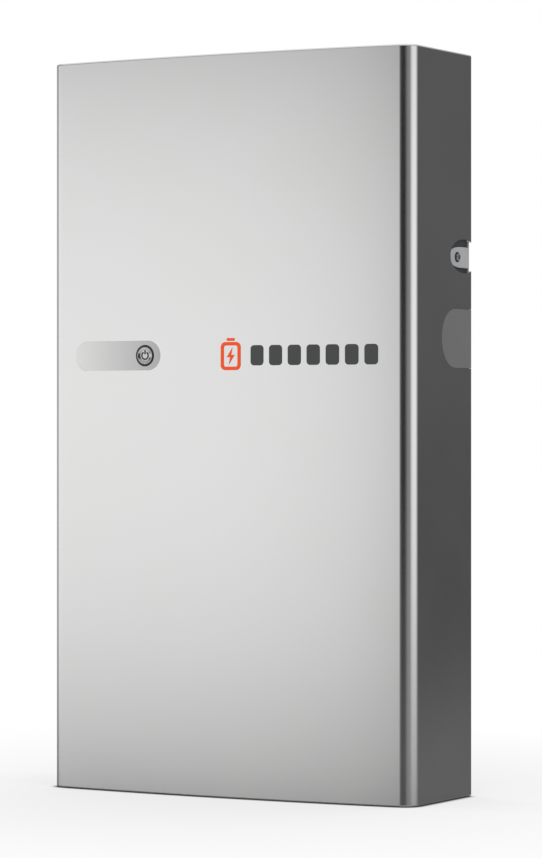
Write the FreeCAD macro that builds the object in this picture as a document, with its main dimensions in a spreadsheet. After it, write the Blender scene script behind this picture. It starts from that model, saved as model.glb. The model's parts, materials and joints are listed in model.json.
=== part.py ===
import FreeCAD, Part
import math
import os
import re
import Sketcher

# Wall battery unit.  Millimetres, +Z up, -Y is the front, +Y is the wall.
# The origin is the bottom centre of the unit's bounding box.

SIZES = {
    # whole unit
    "unit_width": 550,
    "unit_height": 980,
    "unit_depth": 188,
    "wall_gap": 4,            # rear edge of the cover to the wall
    # wrap-around front cover
    "skin": 2.5,
    "corner_radius": 20.5,
    "crown_rise": 12,         # how far the front bows forward between the corners
    "edge_round": 2.4,
    "cap_flange": 18,         # width of the frame around each end grille
    "grille_sheet": 1.5,
    "vent_width": 5,
    "vent_reach": 28,
    "vent_pitch": 17,
    "vent_count": 27,
    "vent_row_y": 6,          # middle row of vents
    "vent_row_pitch": 51,
    # pill-shaped recess around the power button
    "recess_left": -233.7,
    "recess_length": 138.6,
    "recess_height": 39.5,
    "recess_level": 583.4,
    "recess_tilt": 1.2,       # degrees the flat floor turns into the skin
    # power button
    "button_x": -123.1,
    "cap_radius": 11.5,
    "cap_back": 4,            # back of the cap behind the recess floor
    "dish_radius": 8.7,       # flat middle of the dished cap
    "dish_depth": 1.2,
    "stem_radius": 3,
    "symbol_radius": 5.8,
    "symbol_stroke": 1.6,
    "symbol_rise": 0.2,
    "collar_radius": 14,
    "collar_rise": 0.6,       # face of the collar in front of the recess floor
    "collar_web": 4,          # web that guides the stem and seats the spring
    "button_travel": 2,
    "plunger_gap": 0.1,
    "running_gap": 0.06,
    "collar_gap": 0.35,
    # raised badge on the front
    "badge_proud": 0.4,
    "icon_x": 13.7,
    "icon_width": 30,
    "icon_height": 37,
    "icon_stroke": 4.6,
    "bars_left": 43.8,
    "bar_width": 19,
    "bar_height": 26.6,
    "bar_pitch": 27.46,
    "bar_round": 5,
    # rear-open oval notches in the cover's sides
    "notch_level": 713,
    "notch_rise": 22.2,
    "notch_reach": 40.6,
    "notch_middle_y": 69,
    "plug_level": 604.4,
    "plug_radius": 39.4,
    "plug_centre_y": 42.9,
    "plug_gap": 0.6,
    "plug_lip": 4,
    # wall bracket
    "bracket_sheet": 2.5,
    "bracket_half": 240,
    "bracket_bottom": 640,
    "bracket_top": 812,
    "arm_height": 44,
    "ear_outer_x": 271.7,
    "ear_level": 711.5,
    "ear_height": 27.3,
    "ear_nose_y": 36.4,
    "ear_nose_length": 30,
    "ear_nose_flat": 12,
    "ear_bend": 5,
    "ear_screw_y": 55,
    "ear_screw_head": 6.8,
    "ear_screw_shank": 3,
    "bolt_spacing": 406.4,
    "bolt_rise": 101.6,
    "bolt_slot_length": 30,
    "bolt_slot_radius": 5,
    "hook_x": 140,
    "hook_width": 64,
    "hook_level": 778,        # underside of the hooks, where they rest on the bracket's lips
    "hook_reach": 14.5,
    "hook_drop": 14,
    "hook_rise": 48,
    "lip_drop": 22.5,
    "lip_y": 72,
    # chassis tray
    "chassis_half": 269,
    "chassis_sheet": 2,
    "chassis_front": -68,
    "chassis_rear": 66,
    "wing_rear": 89.5,         # the side walls run on behind the back wall
    "chassis_bottom": 14,
    "chassis_top": 966,
    "mouth_half": 234,
    "mouth_margin": 9,
    "pin_x": 244,
    "pin_low": 70,
    "pin_high": 910,
    "pin_radius": 4,
    "socket_radius": 9,
    # battery tub
    "tub_half": 216,
    "tub_bottom": 40,
    "tub_top": 510,
    "tub_wall": 3,
    "flange_reach": 14,
    "flange_front": -56,
    "flange_sheet": 4,
    "flange_round": 12,
    "gasket_sheet": 2,
    "lid_sheet": 3,
    "lid_rise": 4,
    "lid_margin": 16,         # from the tub's outline to the lid's raised field
    "groove_count": 4,
    "groove_height": 22,
    "groove_pitch": 90,
    "groove_depth": 2.5,
    "lid_screw_pitch": 116,
    "lid_screw_head": 4.5,
    "lid_screw_shank": 2.5,
    # cell stacks
    "cell_count": 12,
    "cell_width": 200,
    "cell_front": -34,
    "cell_rear": 60,
    "cell_sheet": 34.5,       # thickness of one cell
    "cell_pad": 1.5,
    "stack_gap": 10,
    "stack_bottom": 46.25,
    "end_sheet": 12,
    "terminal_x": 70,
    "terminal_rise": 4,
    "busbar_sheet": 2,
    "busbar_width": 24,
    "band_width": 16,
    "band_sheet": 1,
    # microinverters
    "inverter_x": 116,
    "inverter_width": 200,
    "inverter_height": 78,
    "inverter_pitch": 86,
    "inverter_low": 739,      # centre of the lowest row
    "inverter_rear": 44,
    "inverter_flange": 3,
    "inverter_body": 34,
    "fin_height": 13,
    "fin_sheet": 2,
    "fin_pitch": 20,
    "rail_sheet": 1.5,
    # wiring bay
    "bay_half": 230,
    "bay_bottom": 536,
    "bay_top": 676,
    "bay_wall": 2.5,
    "bay_front": -50,
    "panel_sheet": 2,
    "hub_y": 32,
    "hub_radius": 24,
    "rail_level": 604.5,
    "rail_front": 20,
    "block_left": -45,
    "pole_pitch": 30,
    "block_front": -34,
    "block_height": 60,
    "lever_length": 34,
    "lever_pin": 2,
    "breaker_x": 108,
    "breaker_width": 36,
    "breaker_front": -24,
    "breaker_nose": -46,
    "pole_spread": 10,        # from the breaker's middle to each lead
    "toggle_radius": 8,
    "ground_front": 22,
    "ground_level": 656,
}

PLACES = {
    "half_width": "unit_width / 2",
    "wall": "unit_depth / 2",
    "front": "badge_proud - unit_depth / 2",
    "cover_rear": "wall - wall_gap",
    "crown_radius": "((half_width - corner_radius)^2 + crown_rise^2) / (2 * crown_rise)",
    "crown_centre": "front + crown_radius",
    "recess_tip": "crown_centre - sqrt(crown_radius^2 - recess_left^2)",
    "button_floor": "recess_tip - (button_x - recess_left) * tan(recess_tilt)",
    "collar_face": "button_floor - collar_rise",
    "cap_face": "collar_face - 0.3",
    "dish_floor": "cap_face + dish_depth",
    "panel_front": "bay_front - panel_sheet",
    "web_front": "panel_front - 22",
    "stem_end": "panel_front - plunger_gap - button_travel",
    "cell_pitch": "cell_sheet + cell_pad",
    "first_cell": "stack_bottom + end_sheet + cell_pad",
    "stack_top": "first_cell + cell_count * cell_pitch",
    "stack_x": "(cell_width + stack_gap) / 2",
    "inner_face": "chassis_rear - chassis_sheet",
    "lid_front": "flange_front - gasket_sheet - lid_sheet",
    "lever_axis_y": "block_front - 5",
    "lever_axis_z": "rail_level + block_height / 2 - 5",
    "toggle_y": "breaker_nose + 6",
}

DOC = FreeCAD.newDocument("wall_battery_unit")
SHEET = DOC.addObject("Spreadsheet::Sheet", "params")
for number, (alias, value) in enumerate(SIZES.items(), start=1):
    SHEET.set(f"A{number}", alias)
    SHEET.set(f"B{number}", str(value))
    SHEET.setAlias(f"B{number}", alias)
DOC.recompute()

NODES = []
WORD = re.compile(r"[a-z][a-z_]*[a-z]")


def bound(text):
    """Turn the plain words of a size into an expression on the sheet's cells."""
    def swap(match):
        word = match.group(0)
        if word in PLACES:
            return "(" + bound(PLACES[word]) + ")"
        if word in SIZES:
            return "params." + word
        return word
    return WORD.sub(swap, str(text))


def bind(thing, **sizes):
    """Bind properties such as Length or Placement_Base_x to sizes."""
    for name, text in sizes.items():
        thing.setExpression(name.replace("_", ".") if name.startswith("Placement") else name, bound(text))


PROBE = DOC.addObject("Part::Vertex", "probe")


def number_of(text):
    """The present value of a size, read from the document."""
    PROBE.setExpression("X", bound(text))
    PROBE.recompute()
    return float(PROBE.X)


def count_of(text):
    return round(number_of(text))


def spot(x, y, z):
    return FreeCAD.Vector(number_of(x), number_of(y), number_of(z))


# ---------------------------------------------------------------- primitives and booleans

def box(name, x, y, z):
    """A block between a pair of sizes along each axis."""
    block = DOC.addObject("Part::Box", name)
    bind(block, Placement_Base_x=x[0], Placement_Base_y=y[0], Placement_Base_z=z[0])
    bind(block, Length=f"({x[1]}) - ({x[0]})", Width=f"({y[1]}) - ({y[0]})", Height=f"({z[1]}) - ({z[0]})")
    return block


TURNS = {
    "x": FreeCAD.Rotation(FreeCAD.Vector(0, 1, 0), 90),
    "y": FreeCAD.Rotation(FreeCAD.Vector(1, 0, 0), -90),
    "z": FreeCAD.Rotation(),
}


def rod(name, axis, start, radius, length):
    """A cylinder that runs from start along +axis."""
    cylinder = DOC.addObject("Part::Cylinder", name)
    cylinder.Placement = FreeCAD.Placement(FreeCAD.Vector(), TURNS[axis])
    bind(cylinder, Placement_Base_x=start[0], Placement_Base_y=start[1], Placement_Base_z=start[2])
    bind(cylinder, Radius=radius, Height=length)
    return cylinder


def cone(name, axis, start, radius, end_radius, length):
    frustum = DOC.addObject("Part::Cone", name)
    frustum.Placement = FreeCAD.Placement(FreeCAD.Vector(), TURNS[axis])
    bind(frustum, Placement_Base_x=start[0], Placement_Base_y=start[1], Placement_Base_z=start[2])
    bind(frustum, Radius1=radius, Radius2=end_radius, Height=length)
    return frustum


def fuse(name, *shapes):
    whole = DOC.addObject("Part::MultiFuse", name)
    whole.Shapes = list(shapes)
    return whole


def cut(name, base, *tools):
    result = DOC.addObject("Part::Cut", name)
    result.Base = base
    result.Tool = tools[0] if len(tools) == 1 else fuse(name + "_tools", *tools)
    return result


def common(name, *shapes):
    result = DOC.addObject("Part::MultiCommon", name)
    result.Shapes = list(shapes)
    return result


def group(name, *shapes):
    """Identical loose pieces kept together as separate solids."""
    result = DOC.addObject("Part::Compound", name)
    result.Links = list(shapes)
    return result


def rounded(name, base, axis, radius):
    """Round the edges of a block that run along one axis."""
    DOC.recompute()
    along = {"x": FreeCAD.Vector(1, 0, 0), "y": FreeCAD.Vector(0, 1, 0), "z": FreeCAD.Vector(0, 0, 1)}[axis]
    size = number_of(radius)
    picked = []
    for count, edge in enumerate(base.Shape.Edges, start=1):
        if edge.Curve.TypeId != "Part::GeomLine":
            continue
        ends = edge.Vertexes[1].Point - edge.Vertexes[0].Point
        if abs(abs(ends.normalize() * along) - 1) < 1e-6:
            picked.append((count, size, size))
    result = DOC.addObject("Part::Fillet", name)
    result.Base = base
    result.Edges = picked
    return result


def node(name, thing):
    """Make a finished piece one of the unit's sub-parts."""
    thing.Label = name
    NODES.append(thing)
    return thing


# ---------------------------------------------------------------- bodies and sketches

def body(name):
    return DOC.addObject("PartDesign::Body", name)


def sketch(owner, name, plane, offset="0"):
    """A sketch on one of the body's origin planes, moved along the plane's normal."""
    drawing = owner.newObject("Sketcher::SketchObject", name)
    support = [item for item in owner.Origin.OriginFeatures if item.Role == plane][0]
    drawing.AttachmentSupport = [(support, "")]
    drawing.MapMode = "FlatFace"
    drawing.setExpression("AttachmentOffset.Base.z", bound(offset))
    return drawing


def hold(drawing, *constraint_and_size):
    """Add a dimension and bind it to a size."""
    *what, text = constraint_and_size
    index = drawing.addConstraint(Sketcher.Constraint(*what, number_of(text)))
    drawing.setExpression(f"Constraints[{index}]", bound(text))


def outline(drawing, corners):
    """A closed outline of straight sides through the corners, each held by its two sizes."""
    first = drawing.GeometryCount
    points = [FreeCAD.Vector(number_of(u), number_of(v), 0) for u, v in corners]
    count = len(points)
    for i in range(count):
        drawing.addGeometry(Part.LineSegment(points[i], points[(i + 1) % count]))
    for i in range(count):
        drawing.addConstraint(
            Sketcher.Constraint("Coincident", first + i, 2, first + (i + 1) % count, 1))
    for i, (u, v) in enumerate(corners):
        hold(drawing, "DistanceX", first + i, 1, u)
        hold(drawing, "DistanceY", first + i, 1, v)


def rectangle(drawing, u, v):
    outline(drawing, [(u[0], v[0]), (u[1], v[0]), (u[1], v[1]), (u[0], v[1])])


def circle(drawing, u, v, radius):
    index = drawing.addGeometry(Part.Circle(
        FreeCAD.Vector(number_of(u), number_of(v), 0), FreeCAD.Vector(0, 0, 1), number_of(radius)))
    hold(drawing, "DistanceX", index, 3, u)
    hold(drawing, "DistanceY", index, 3, v)
    hold(drawing, "Radius", index, radius)


def stadium(drawing, start, end, level, radius):
    """A pill lying along the sketch's first axis, start and end being the centres of its ends."""
    u0, u1 = number_of(start), number_of(end)
    v, r = number_of(level), number_of(radius)
    up = FreeCAD.Vector(0, 0, 1)
    first = drawing.addGeometry(Part.LineSegment(FreeCAD.Vector(u0, v - r, 0), FreeCAD.Vector(u1, v - r, 0)))
    drawing.addGeometry(Part.ArcOfCircle(
        Part.Circle(FreeCAD.Vector(u1, v, 0), up, r), -math.pi / 2, math.pi / 2))
    drawing.addGeometry(Part.LineSegment(FreeCAD.Vector(u1, v + r, 0), FreeCAD.Vector(u0, v + r, 0)))
    drawing.addGeometry(Part.ArcOfCircle(
        Part.Circle(FreeCAD.Vector(u0, v, 0), up, r), math.pi / 2, 3 * math.pi / 2))
    for i in range(4):
        drawing.addConstraint(
            Sketcher.Constraint("Tangent", first + i, 2, first + (i + 1) % 4, 1))
    drawing.addConstraint(Sketcher.Constraint("Horizontal", first))
    hold(drawing, "DistanceX", first + 1, 3, end)
    hold(drawing, "DistanceY", first + 1, 3, level)
    hold(drawing, "DistanceX", first + 3, 3, start)
    hold(drawing, "Radius", first + 1, radius)


def wrap_profile(drawing, inset, rear):
    """Plan of the cover: straight sides, round front corners and a bowed front, drawn inset."""
    half = number_of(f"half_width - ({inset})")
    corner = number_of(f"corner_radius - ({inset})")
    crown = number_of(f"crown_radius - ({inset})")
    back = number_of(rear)
    middle = number_of("crown_centre")
    corner_x = half - corner
    corner_y = middle - math.sqrt((crown - corner) ** 2 - corner_x ** 2)
    turn = math.atan2(corner_y - middle, corner_x)
    up = FreeCAD.Vector(0, 0, 1)
    drawing.addGeometry(Part.LineSegment(FreeCAD.Vector(-half, back, 0), FreeCAD.Vector(half, back, 0)))
    drawing.addGeometry(Part.LineSegment(FreeCAD.Vector(half, back, 0), FreeCAD.Vector(half, corner_y, 0)))
    drawing.addGeometry(Part.ArcOfCircle(
        Part.Circle(FreeCAD.Vector(corner_x, corner_y, 0), up, corner), turn, 0))
    drawing.addGeometry(Part.ArcOfCircle(
        Part.Circle(FreeCAD.Vector(0, middle, 0), up, crown), -math.pi - turn, turn))
    drawing.addGeometry(Part.ArcOfCircle(
        Part.Circle(FreeCAD.Vector(-corner_x, corner_y, 0), up, corner), math.pi, -math.pi - turn))
    drawing.addGeometry(Part.LineSegment(FreeCAD.Vector(-half, corner_y, 0), FreeCAD.Vector(-half, back, 0)))
    for joint in (("Coincident", 0, 2, 1, 1), ("Tangent", 1, 2, 2, 2), ("Tangent", 2, 1, 3, 2),
                  ("Tangent", 3, 1, 4, 2), ("Tangent", 4, 1, 5, 1), ("Coincident", 5, 2, 0, 1),
                  ("Horizontal", 0), ("Vertical", 1), ("Vertical", 5)):
        drawing.addConstraint(Sketcher.Constraint(*joint))
    hold(drawing, "DistanceX", 0, 1, f"-(half_width - ({inset}))")
    hold(drawing, "DistanceX", 0, 2, f"half_width - ({inset})")
    hold(drawing, "DistanceY", 0, 1, rear)
    hold(drawing, "Radius", 2, f"corner_radius - ({inset})")
    hold(drawing, "Radius", 4, f"corner_radius - ({inset})")
    hold(drawing, "Radius", 3, f"crown_radius - ({inset})")
    hold(drawing, "DistanceX", 3, 3, "0")
    hold(drawing, "DistanceY", 3, 3, "crown_centre")


def pad(owner, drawing, length, back=None):
    """Add material from a sketch; back gives the extra reach behind the sketch plane."""
    feature = owner.newObject("PartDesign::Pad", drawing.Name + "_pad")
    feature.Profile = drawing
    bind(feature, Length=length)
    if back is not None:
        feature.SideType = "Two sides"
        bind(feature, Length2=back)
    drawing.Visibility = False
    return feature


def pocket(owner, drawing, length, forward=False):
    """Remove material behind the sketch plane, or in front of it where forward is set."""
    DOC.recompute()
    before = owner.Shape.Volume
    feature = owner.newObject("PartDesign::Pocket", drawing.Name + "_pocket")
    feature.Profile = drawing
    feature.Reversed = forward
    bind(feature, Length=length)
    DOC.recompute()
    if owner.Shape.Volume > before - 1e-3:
        raise RuntimeError(f"{drawing.Name} removes nothing")
    return feature


def revolve(owner, drawing):
    feature = owner.newObject("PartDesign::Revolution", drawing.Name + "_turned")
    feature.Profile = drawing
    feature.ReferenceAxis = (drawing, ["V_Axis"])
    feature.Angle = 360
    return feature


def round_edges(owner, radius, wanted):
    """Fillet the body's edges that the test picks by their bounding box."""
    DOC.recompute()
    picked = [f"Edge{i}" for i, edge in enumerate(owner.Shape.Edges, start=1) if wanted(edge)]
    tip = owner.Tip
    feature = owner.newObject("PartDesign::Fillet", tip.Name + "_round")
    feature.Base = (tip, picked)
    bind(feature, Radius=radius)
    DOC.recompute()
    return feature


def at_level(edge, level):
    bounds = edge.BoundBox
    return abs(bounds.ZMin - level) < 1e-3 and abs(bounds.ZMax - level) < 1e-3


def slot_cutter(name, plane, start, end, level, radius, near, far):
    """A pill-shaped prism used to cut a slot, between two distances along the plane's normal."""
    owner = body(name)
    drawing = sketch(owner, name + "_slot", plane, near)
    stadium(drawing, start, end, level, radius)
    pad(owner, drawing, f"({far}) - ({near})")
    return owner


def oval_cutter(name, middle, level, reach, rise):
    """An oval prism that passes from side to side of the unit."""
    owner = body(name)
    drawing = sketch(owner, name + "_oval", "YZ_Plane", "-half_width - 5")
    centre = FreeCAD.Vector(number_of(middle), number_of(level), 0)
    side = centre + FreeCAD.Vector(number_of(reach), 0, 0)
    top = centre + FreeCAD.Vector(0, number_of(rise), 0)
    index = drawing.addGeometry(Part.Ellipse(side, top, centre))
    hold(drawing, "DistanceX", index, 3, middle)
    hold(drawing, "DistanceY", index, 3, level)
    pad(owner, drawing, "2 * half_width + 10")
    return owner


def both_sides(name, make):
    """One piece on each side of the unit, made by a function of +1 or -1."""
    return group(name, make(1), make(-1))


# ---------------------------------------------------------------- cover

def wrap_solid(name, inset, low, high, rear):
    owner = body(name)
    drawing = sketch(owner, name + "_plan", "XY_Plane", low)
    wrap_profile(drawing, inset, rear)
    pad(owner, drawing, f"({high}) - ({low})")
    return owner


def recess_prism(name, grow, behind):
    """Pill whose floor leans into the bowed front from the recess's left tip."""
    owner = body(name)
    drawing = sketch(owner, name + "_pill", "XZ_Plane")
    drawing.setExpression("AttachmentOffset.Base.x", bound("recess_left"))
    drawing.setExpression("AttachmentOffset.Base.z", bound(f"-recess_tip - ({behind})"))
    drawing.AttachmentOffset = FreeCAD.Placement(
        drawing.AttachmentOffset.Base,
        FreeCAD.Rotation(FreeCAD.Vector(0, 1, 0), -number_of("recess_tilt")))
    stadium(drawing, "recess_height / 2", "recess_length - recess_height / 2",
            "recess_level", f"recess_height / 2 + ({grow})")
    pad(owner, drawing, "20 + skin")
    return owner


def make_front_cover():
    wrap = wrap_solid("cover_wrap", "0", "0", "unit_height", "cover_rear")
    rear = number_of("cover_rear")
    height = number_of("unit_height")
    round_edges(wrap, "edge_round", lambda edge: (at_level(edge, 0) or at_level(edge, height))
                and edge.BoundBox.YMin < rear - 1)
    inside = wrap_solid("cover_void", "skin", "skin", "unit_height - skin", "cover_rear + 1")
    backing = recess_prism("recess_backing", "skin", "skin")
    hollow = cut("cover_hollow", inside, backing)
    caps = wrap_solid("cap_openings", "cap_flange", "-1", "unit_height + 1", "cover_rear + 2")
    recess = recess_prism("recess_cutter", "0", "0")
    hole = rod("button_hole", "y", ("button_x", "front - 5", "recess_level"),
               "collar_radius + collar_gap", "20")
    notch = oval_cutter("notch_cutter", "notch_middle_y", "notch_level", "notch_reach", "notch_rise")
    plug = slot_cutter("plug_cutter", "YZ_Plane", "plug_centre_y", "wall + plug_radius", "plug_level",
                       "plug_radius", "-half_width - 5", "half_width + 5")
    return node("front_cover", cut("cover", wrap, hollow, caps, recess, hole, notch, plug))


def make_grille(name, low, high):
    """Vent plate under one end frame of the cover, with three rows of slots."""
    plate = wrap_solid(name + "_plate", "skin + 0.2", low, high, "cover_rear - 2")
    row_length = "(vent_count - 1) * vent_pitch"
    rows = []
    for row in (-1, 0, 1):
        first = body(f"{name}_row_{row + 2}")
        drawing = sketch(first, f"{name}_vents_{row + 2}", "XY_Plane", f"({low}) - 1")
        middle = f"vent_row_y + {row} * vent_row_pitch"
        rectangle(drawing, (f"-{row_length} / 2 - vent_width / 2", f"-{row_length} / 2 + vent_width / 2"),
                  (f"{middle} - vent_reach / 2", f"{middle} + vent_reach / 2"))
        vent = pad(first, drawing, "grille_sheet + 2")
        DOC.recompute()
        pattern = first.newObject("PartDesign::LinearPattern", f"{name}_pattern_{row + 2}")
        pattern.Originals = [vent]
        pattern.Direction = (drawing, ["H_Axis"])
        pattern.Occurrences = count_of("vent_count")
        bind(pattern, Length=row_length)
        first.Tip = pattern
        rows.append(first)
    return node(name, cut(name + "_cut", plate, *rows))


def make_side_plug(name, side):
    """Filler for the conduit slot: a flush outer face, a lip behind the skin and two snap ribs."""
    def layer(part, radius, rear, inner, outer):
        owner = body(f"{name}_{part}")
        near, far = (inner, outer) if side > 0 else (f"-({outer})", f"-({inner})")
        drawing = sketch(owner, f"{name}_{part}_outline", "YZ_Plane", near)
        stadium(drawing, "plug_centre_y", "wall + plug_radius", "plug_level", radius)
        pad(owner, drawing, f"({far}) - ({near})")
        trim = box(f"{name}_{part}_trim", ("-half_width - 9", "half_width + 9"), (rear, "wall + 99"),
                   ("plug_level - 99", "plug_level + 99"))
        return cut(f"{name}_{part}_trimmed", owner, trim)
    face = layer("face", "plug_radius - plug_gap", "cover_rear", "half_width - skin", "half_width")
    lip = layer("lip", "plug_radius + plug_lip", "cover_rear - 1", "half_width - 2 * skin + 0.5",
                "half_width - skin")
    return node(name, fuse(name + "_whole", face, lip))


def crown_layer(name, low, high):
    """Thin sheet lying on the bowed front, between two heights."""
    axis = ("0", "crown_centre", low)
    outer = rod(name + "_outer", "z", axis, "crown_radius + badge_proud", f"({high}) - ({low})")
    inner = rod(name + "_inner", "z", axis, "crown_radius", f"({high}) - ({low})")
    return cut(name, outer, inner)


def make_badge_icon():
    """Battery outline with a terminal nub and a lightning bolt, raised on the front."""
    depth = ("front - 5", "front + 8")
    layer = crown_layer("icon_layer", "recess_level - 25", "recess_level + 25")
    left, right = "icon_x - icon_width / 2", "icon_x + icon_width / 2"
    low, high = "recess_level - icon_height / 2 - 2", "recess_level + icon_height / 2 - 2"
    case = rounded("icon_case", box("icon_case_box", (left, right), depth, (low, high)), "y", "7")
    window = rounded("icon_window", box(
        "icon_window_box", (f"{left} + icon_stroke", f"{right} - icon_stroke"), depth,
        (f"{low} + icon_stroke", f"{high} - icon_stroke")), "y", "3")
    ring = cut("icon_ring", case, window)
    nub = rounded("icon_nub", box("icon_nub_box", ("icon_x - 6", "icon_x + 6"), depth,
                                  (f"{high} + 1.4", f"{high} + 5.2")), "y", "1.5")
    owner = body("icon_bolt")
    drawing = sketch(owner, "icon_bolt_outline", "XZ_Plane", "-front - 8")
    middle = "recess_level - 2"
    outline(drawing, [
        ("icon_x + 2.6", f"{middle} + 11"), ("icon_x - 6", f"{middle} - 1.6"),
        ("icon_x - 0.8", f"{middle} - 1.6"), ("icon_x - 2.6", f"{middle} - 11"),
        ("icon_x + 6", f"{middle} + 1.6"), ("icon_x + 0.8", f"{middle} + 1.6")])
    pad(owner, drawing, "13")
    pieces = [common(f"icon_piece_{i}", layer, shape) for i, shape in enumerate((ring, nub, owner))]
    return node("badge_icon", group("icon_pieces", *pieces))


def make_badge_bars():
    """A row of seven rounded charge bars, raised on the front."""
    layer = crown_layer("bar_layer", "recess_level - 25", "recess_level + 25")
    bars = []
    for i in range(7):
        left = f"bars_left + {i} * bar_pitch"
        block = box(f"bar_box_{i}", (left, f"{left} + bar_width"), ("front - 5", "front + 14"),
                    ("recess_level - 1.3 - bar_height / 2", "recess_level - 1.3 + bar_height / 2"))
        bars.append(common(f"bar_{i}", layer, rounded(f"bar_round_{i}", block, "y", "bar_round")))
    return node("badge_bars", group("bar_pieces", *bars))


def corner_places():
    return [(x, z) for x in ("-pin_x", "pin_x") for z in ("pin_low", "pin_high")]


def make_cover_sockets():
    """Push-fit sockets inside the cover's front, one for each chassis pin."""
    inside = wrap_solid("socket_limit", "skin", "skin", "unit_height - skin", "cover_rear")
    pieces = []
    for i, (x, z) in enumerate(corner_places()):
        boss = rod(f"socket_boss_{i}", "y", (x, "front", z), "socket_radius", "-front - 69.5")
        bore = rod(f"socket_bore_{i}", "y", (x, "front + 15.5", z), "pin_radius + 0.05", "-front - 15.5 - 69")
        pieces.append(cut(f"socket_{i}", common(f"socket_body_{i}", boss, inside), bore))
    return node("cover_sockets", group("sockets", *pieces))


# ---------------------------------------------------------------- power button

def turned(name, profile):
    """A body turned about a front-to-back line through the button's centre; profile is (radius, y)."""
    owner = body(name)
    bind(owner, Placement_Base_x="button_x", Placement_Base_z="recess_level")
    drawing = sketch(owner, name + "_section", "XY_Plane")
    outline(drawing, profile)
    revolve(owner, drawing)
    return owner


def make_power_button():
    """Dished cap with a flat centre, and a stem that works the switch."""
    owner = turned("button_turned", [
        ("0", "dish_floor"), ("dish_radius", "dish_floor"), ("cap_radius - 0.5", "cap_face"),
        ("cap_radius", "cap_face + 0.5"), ("cap_radius", "button_floor + cap_back"),
        ("stem_radius", "button_floor + cap_back"), ("stem_radius", "stem_end"), ("0", "stem_end")])
    return node("power_button", owner)


def make_power_symbol():
    """Ring with a gap at the top and an upright bar, laid on the cap's flat centre."""
    face = "dish_floor - symbol_rise"
    level = "recess_level - 0.6"
    outer = rod("symbol_outer", "y", ("button_x", face, level), "symbol_radius", "symbol_rise")
    inner = rod("symbol_inner", "y", ("button_x", "cap_face", level), "symbol_radius - symbol_stroke",
                "2 * dish_depth")
    gap = box("symbol_gap", ("button_x - 2 * symbol_stroke", "button_x + 2 * symbol_stroke"),
              ("cap_face", "cap_face + 2 * dish_depth"), (level, f"{level} + 2 * symbol_radius"))
    bar = box("symbol_bar", ("button_x - symbol_stroke / 2", "button_x + symbol_stroke / 2"),
              (face, "dish_floor"), ("recess_level + 2.1", "recess_level + 7.7"))
    return node("power_symbol", group("symbol", cut("symbol_ring", outer, inner, gap), bar))


def make_button_collar():
    """Dark tower from the deadfront panel to the recess; it guides the cap and its stem."""
    bore = "cap_radius + running_gap"
    guide = "stem_radius + running_gap"
    web_back = "web_front + collar_web"
    groove_in, groove_out = "collar_radius - 1.7", "collar_radius - 0.8"
    owner = turned("collar_turned", [
        ("collar_radius - 0.5", "collar_face"), ("collar_radius", "collar_face + 0.5"),
        ("collar_radius", "panel_front - 4"), ("20", "panel_front - 4"), ("20", "panel_front"),
        (f"{guide} + 2", "panel_front"), (f"{guide} + 2", web_back), (guide, web_back),
        (guide, "web_front"), (bore, "web_front"), (bore, "collar_face"),
        (groove_in, "collar_face"), (groove_in, "collar_face + 1"),
        (groove_out, "collar_face + 1"), (groove_out, "collar_face")])
    return node("button_collar", owner)


def make_status_light_ring():
    owner = turned("light_turned", [
        ("collar_radius - 1.7", "collar_face + 0.1"), ("collar_radius - 0.8", "collar_face + 0.1"),
        ("collar_radius - 0.8", "collar_face + 1"), ("collar_radius - 1.7", "collar_face + 1")])
    return node("status_light_ring", owner)


def make_switch_body():
    """Snap switch behind the deadfront panel; its plunger meets the button's stem."""
    case = rounded("switch_case", box(
        "switch_box", ("button_x - 9", "button_x + 9"), ("bay_front", "bay_front + 18"),
        ("recess_level - 9", "recess_level + 9")), "y", "1.5")
    plunger = rod("switch_plunger", "y", ("button_x", "panel_front + plunger_gap", "recess_level"), "2", "6")
    tabs = [box(f"switch_tab_{i + 1}", (f"button_x + {i} * 5.5 - 0.5", f"button_x + {i} * 5.5 + 0.5"),
                ("bay_front + 17", "bay_front + 25"), ("recess_level - 3", "recess_level + 3"))
            for i in (-1, 0, 1)]
    return node("switch_body", fuse("switch", case, plunger, *tabs))


def make_button_spring():
    """Return spring around the stem, wound in short lengths from the collar's web to the cap."""
    wire = 0.45
    coil = 5.2
    turns = 3.5
    steps = 12
    start = number_of("button_floor + cap_back") + wire
    end = number_of("web_front") - wire
    points = []
    for i in range(int(turns * steps) + 1):
        turn = 2 * math.pi * i / steps
        climb = (end - start) * i / (turns * steps)
        points.append(FreeCAD.Vector(coil * math.cos(turn), coil * math.sin(turn), climb))
    section = Part.Wire(Part.makeCircle(wire, points[0], points[1] - points[0]))
    mitred = 1
    coilform = Part.makePolygon(points).makePipeShell([section], True, False, mitred)
    spring = DOC.addObject("Part::Feature", "spring")
    spring.Shape = coilform
    spring.Placement = FreeCAD.Placement(
        FreeCAD.Vector(number_of("button_x"), start, number_of("recess_level")), TURNS["y"])
    return node("button_spring", spring)


# ---------------------------------------------------------------- chassis and bracket

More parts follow.
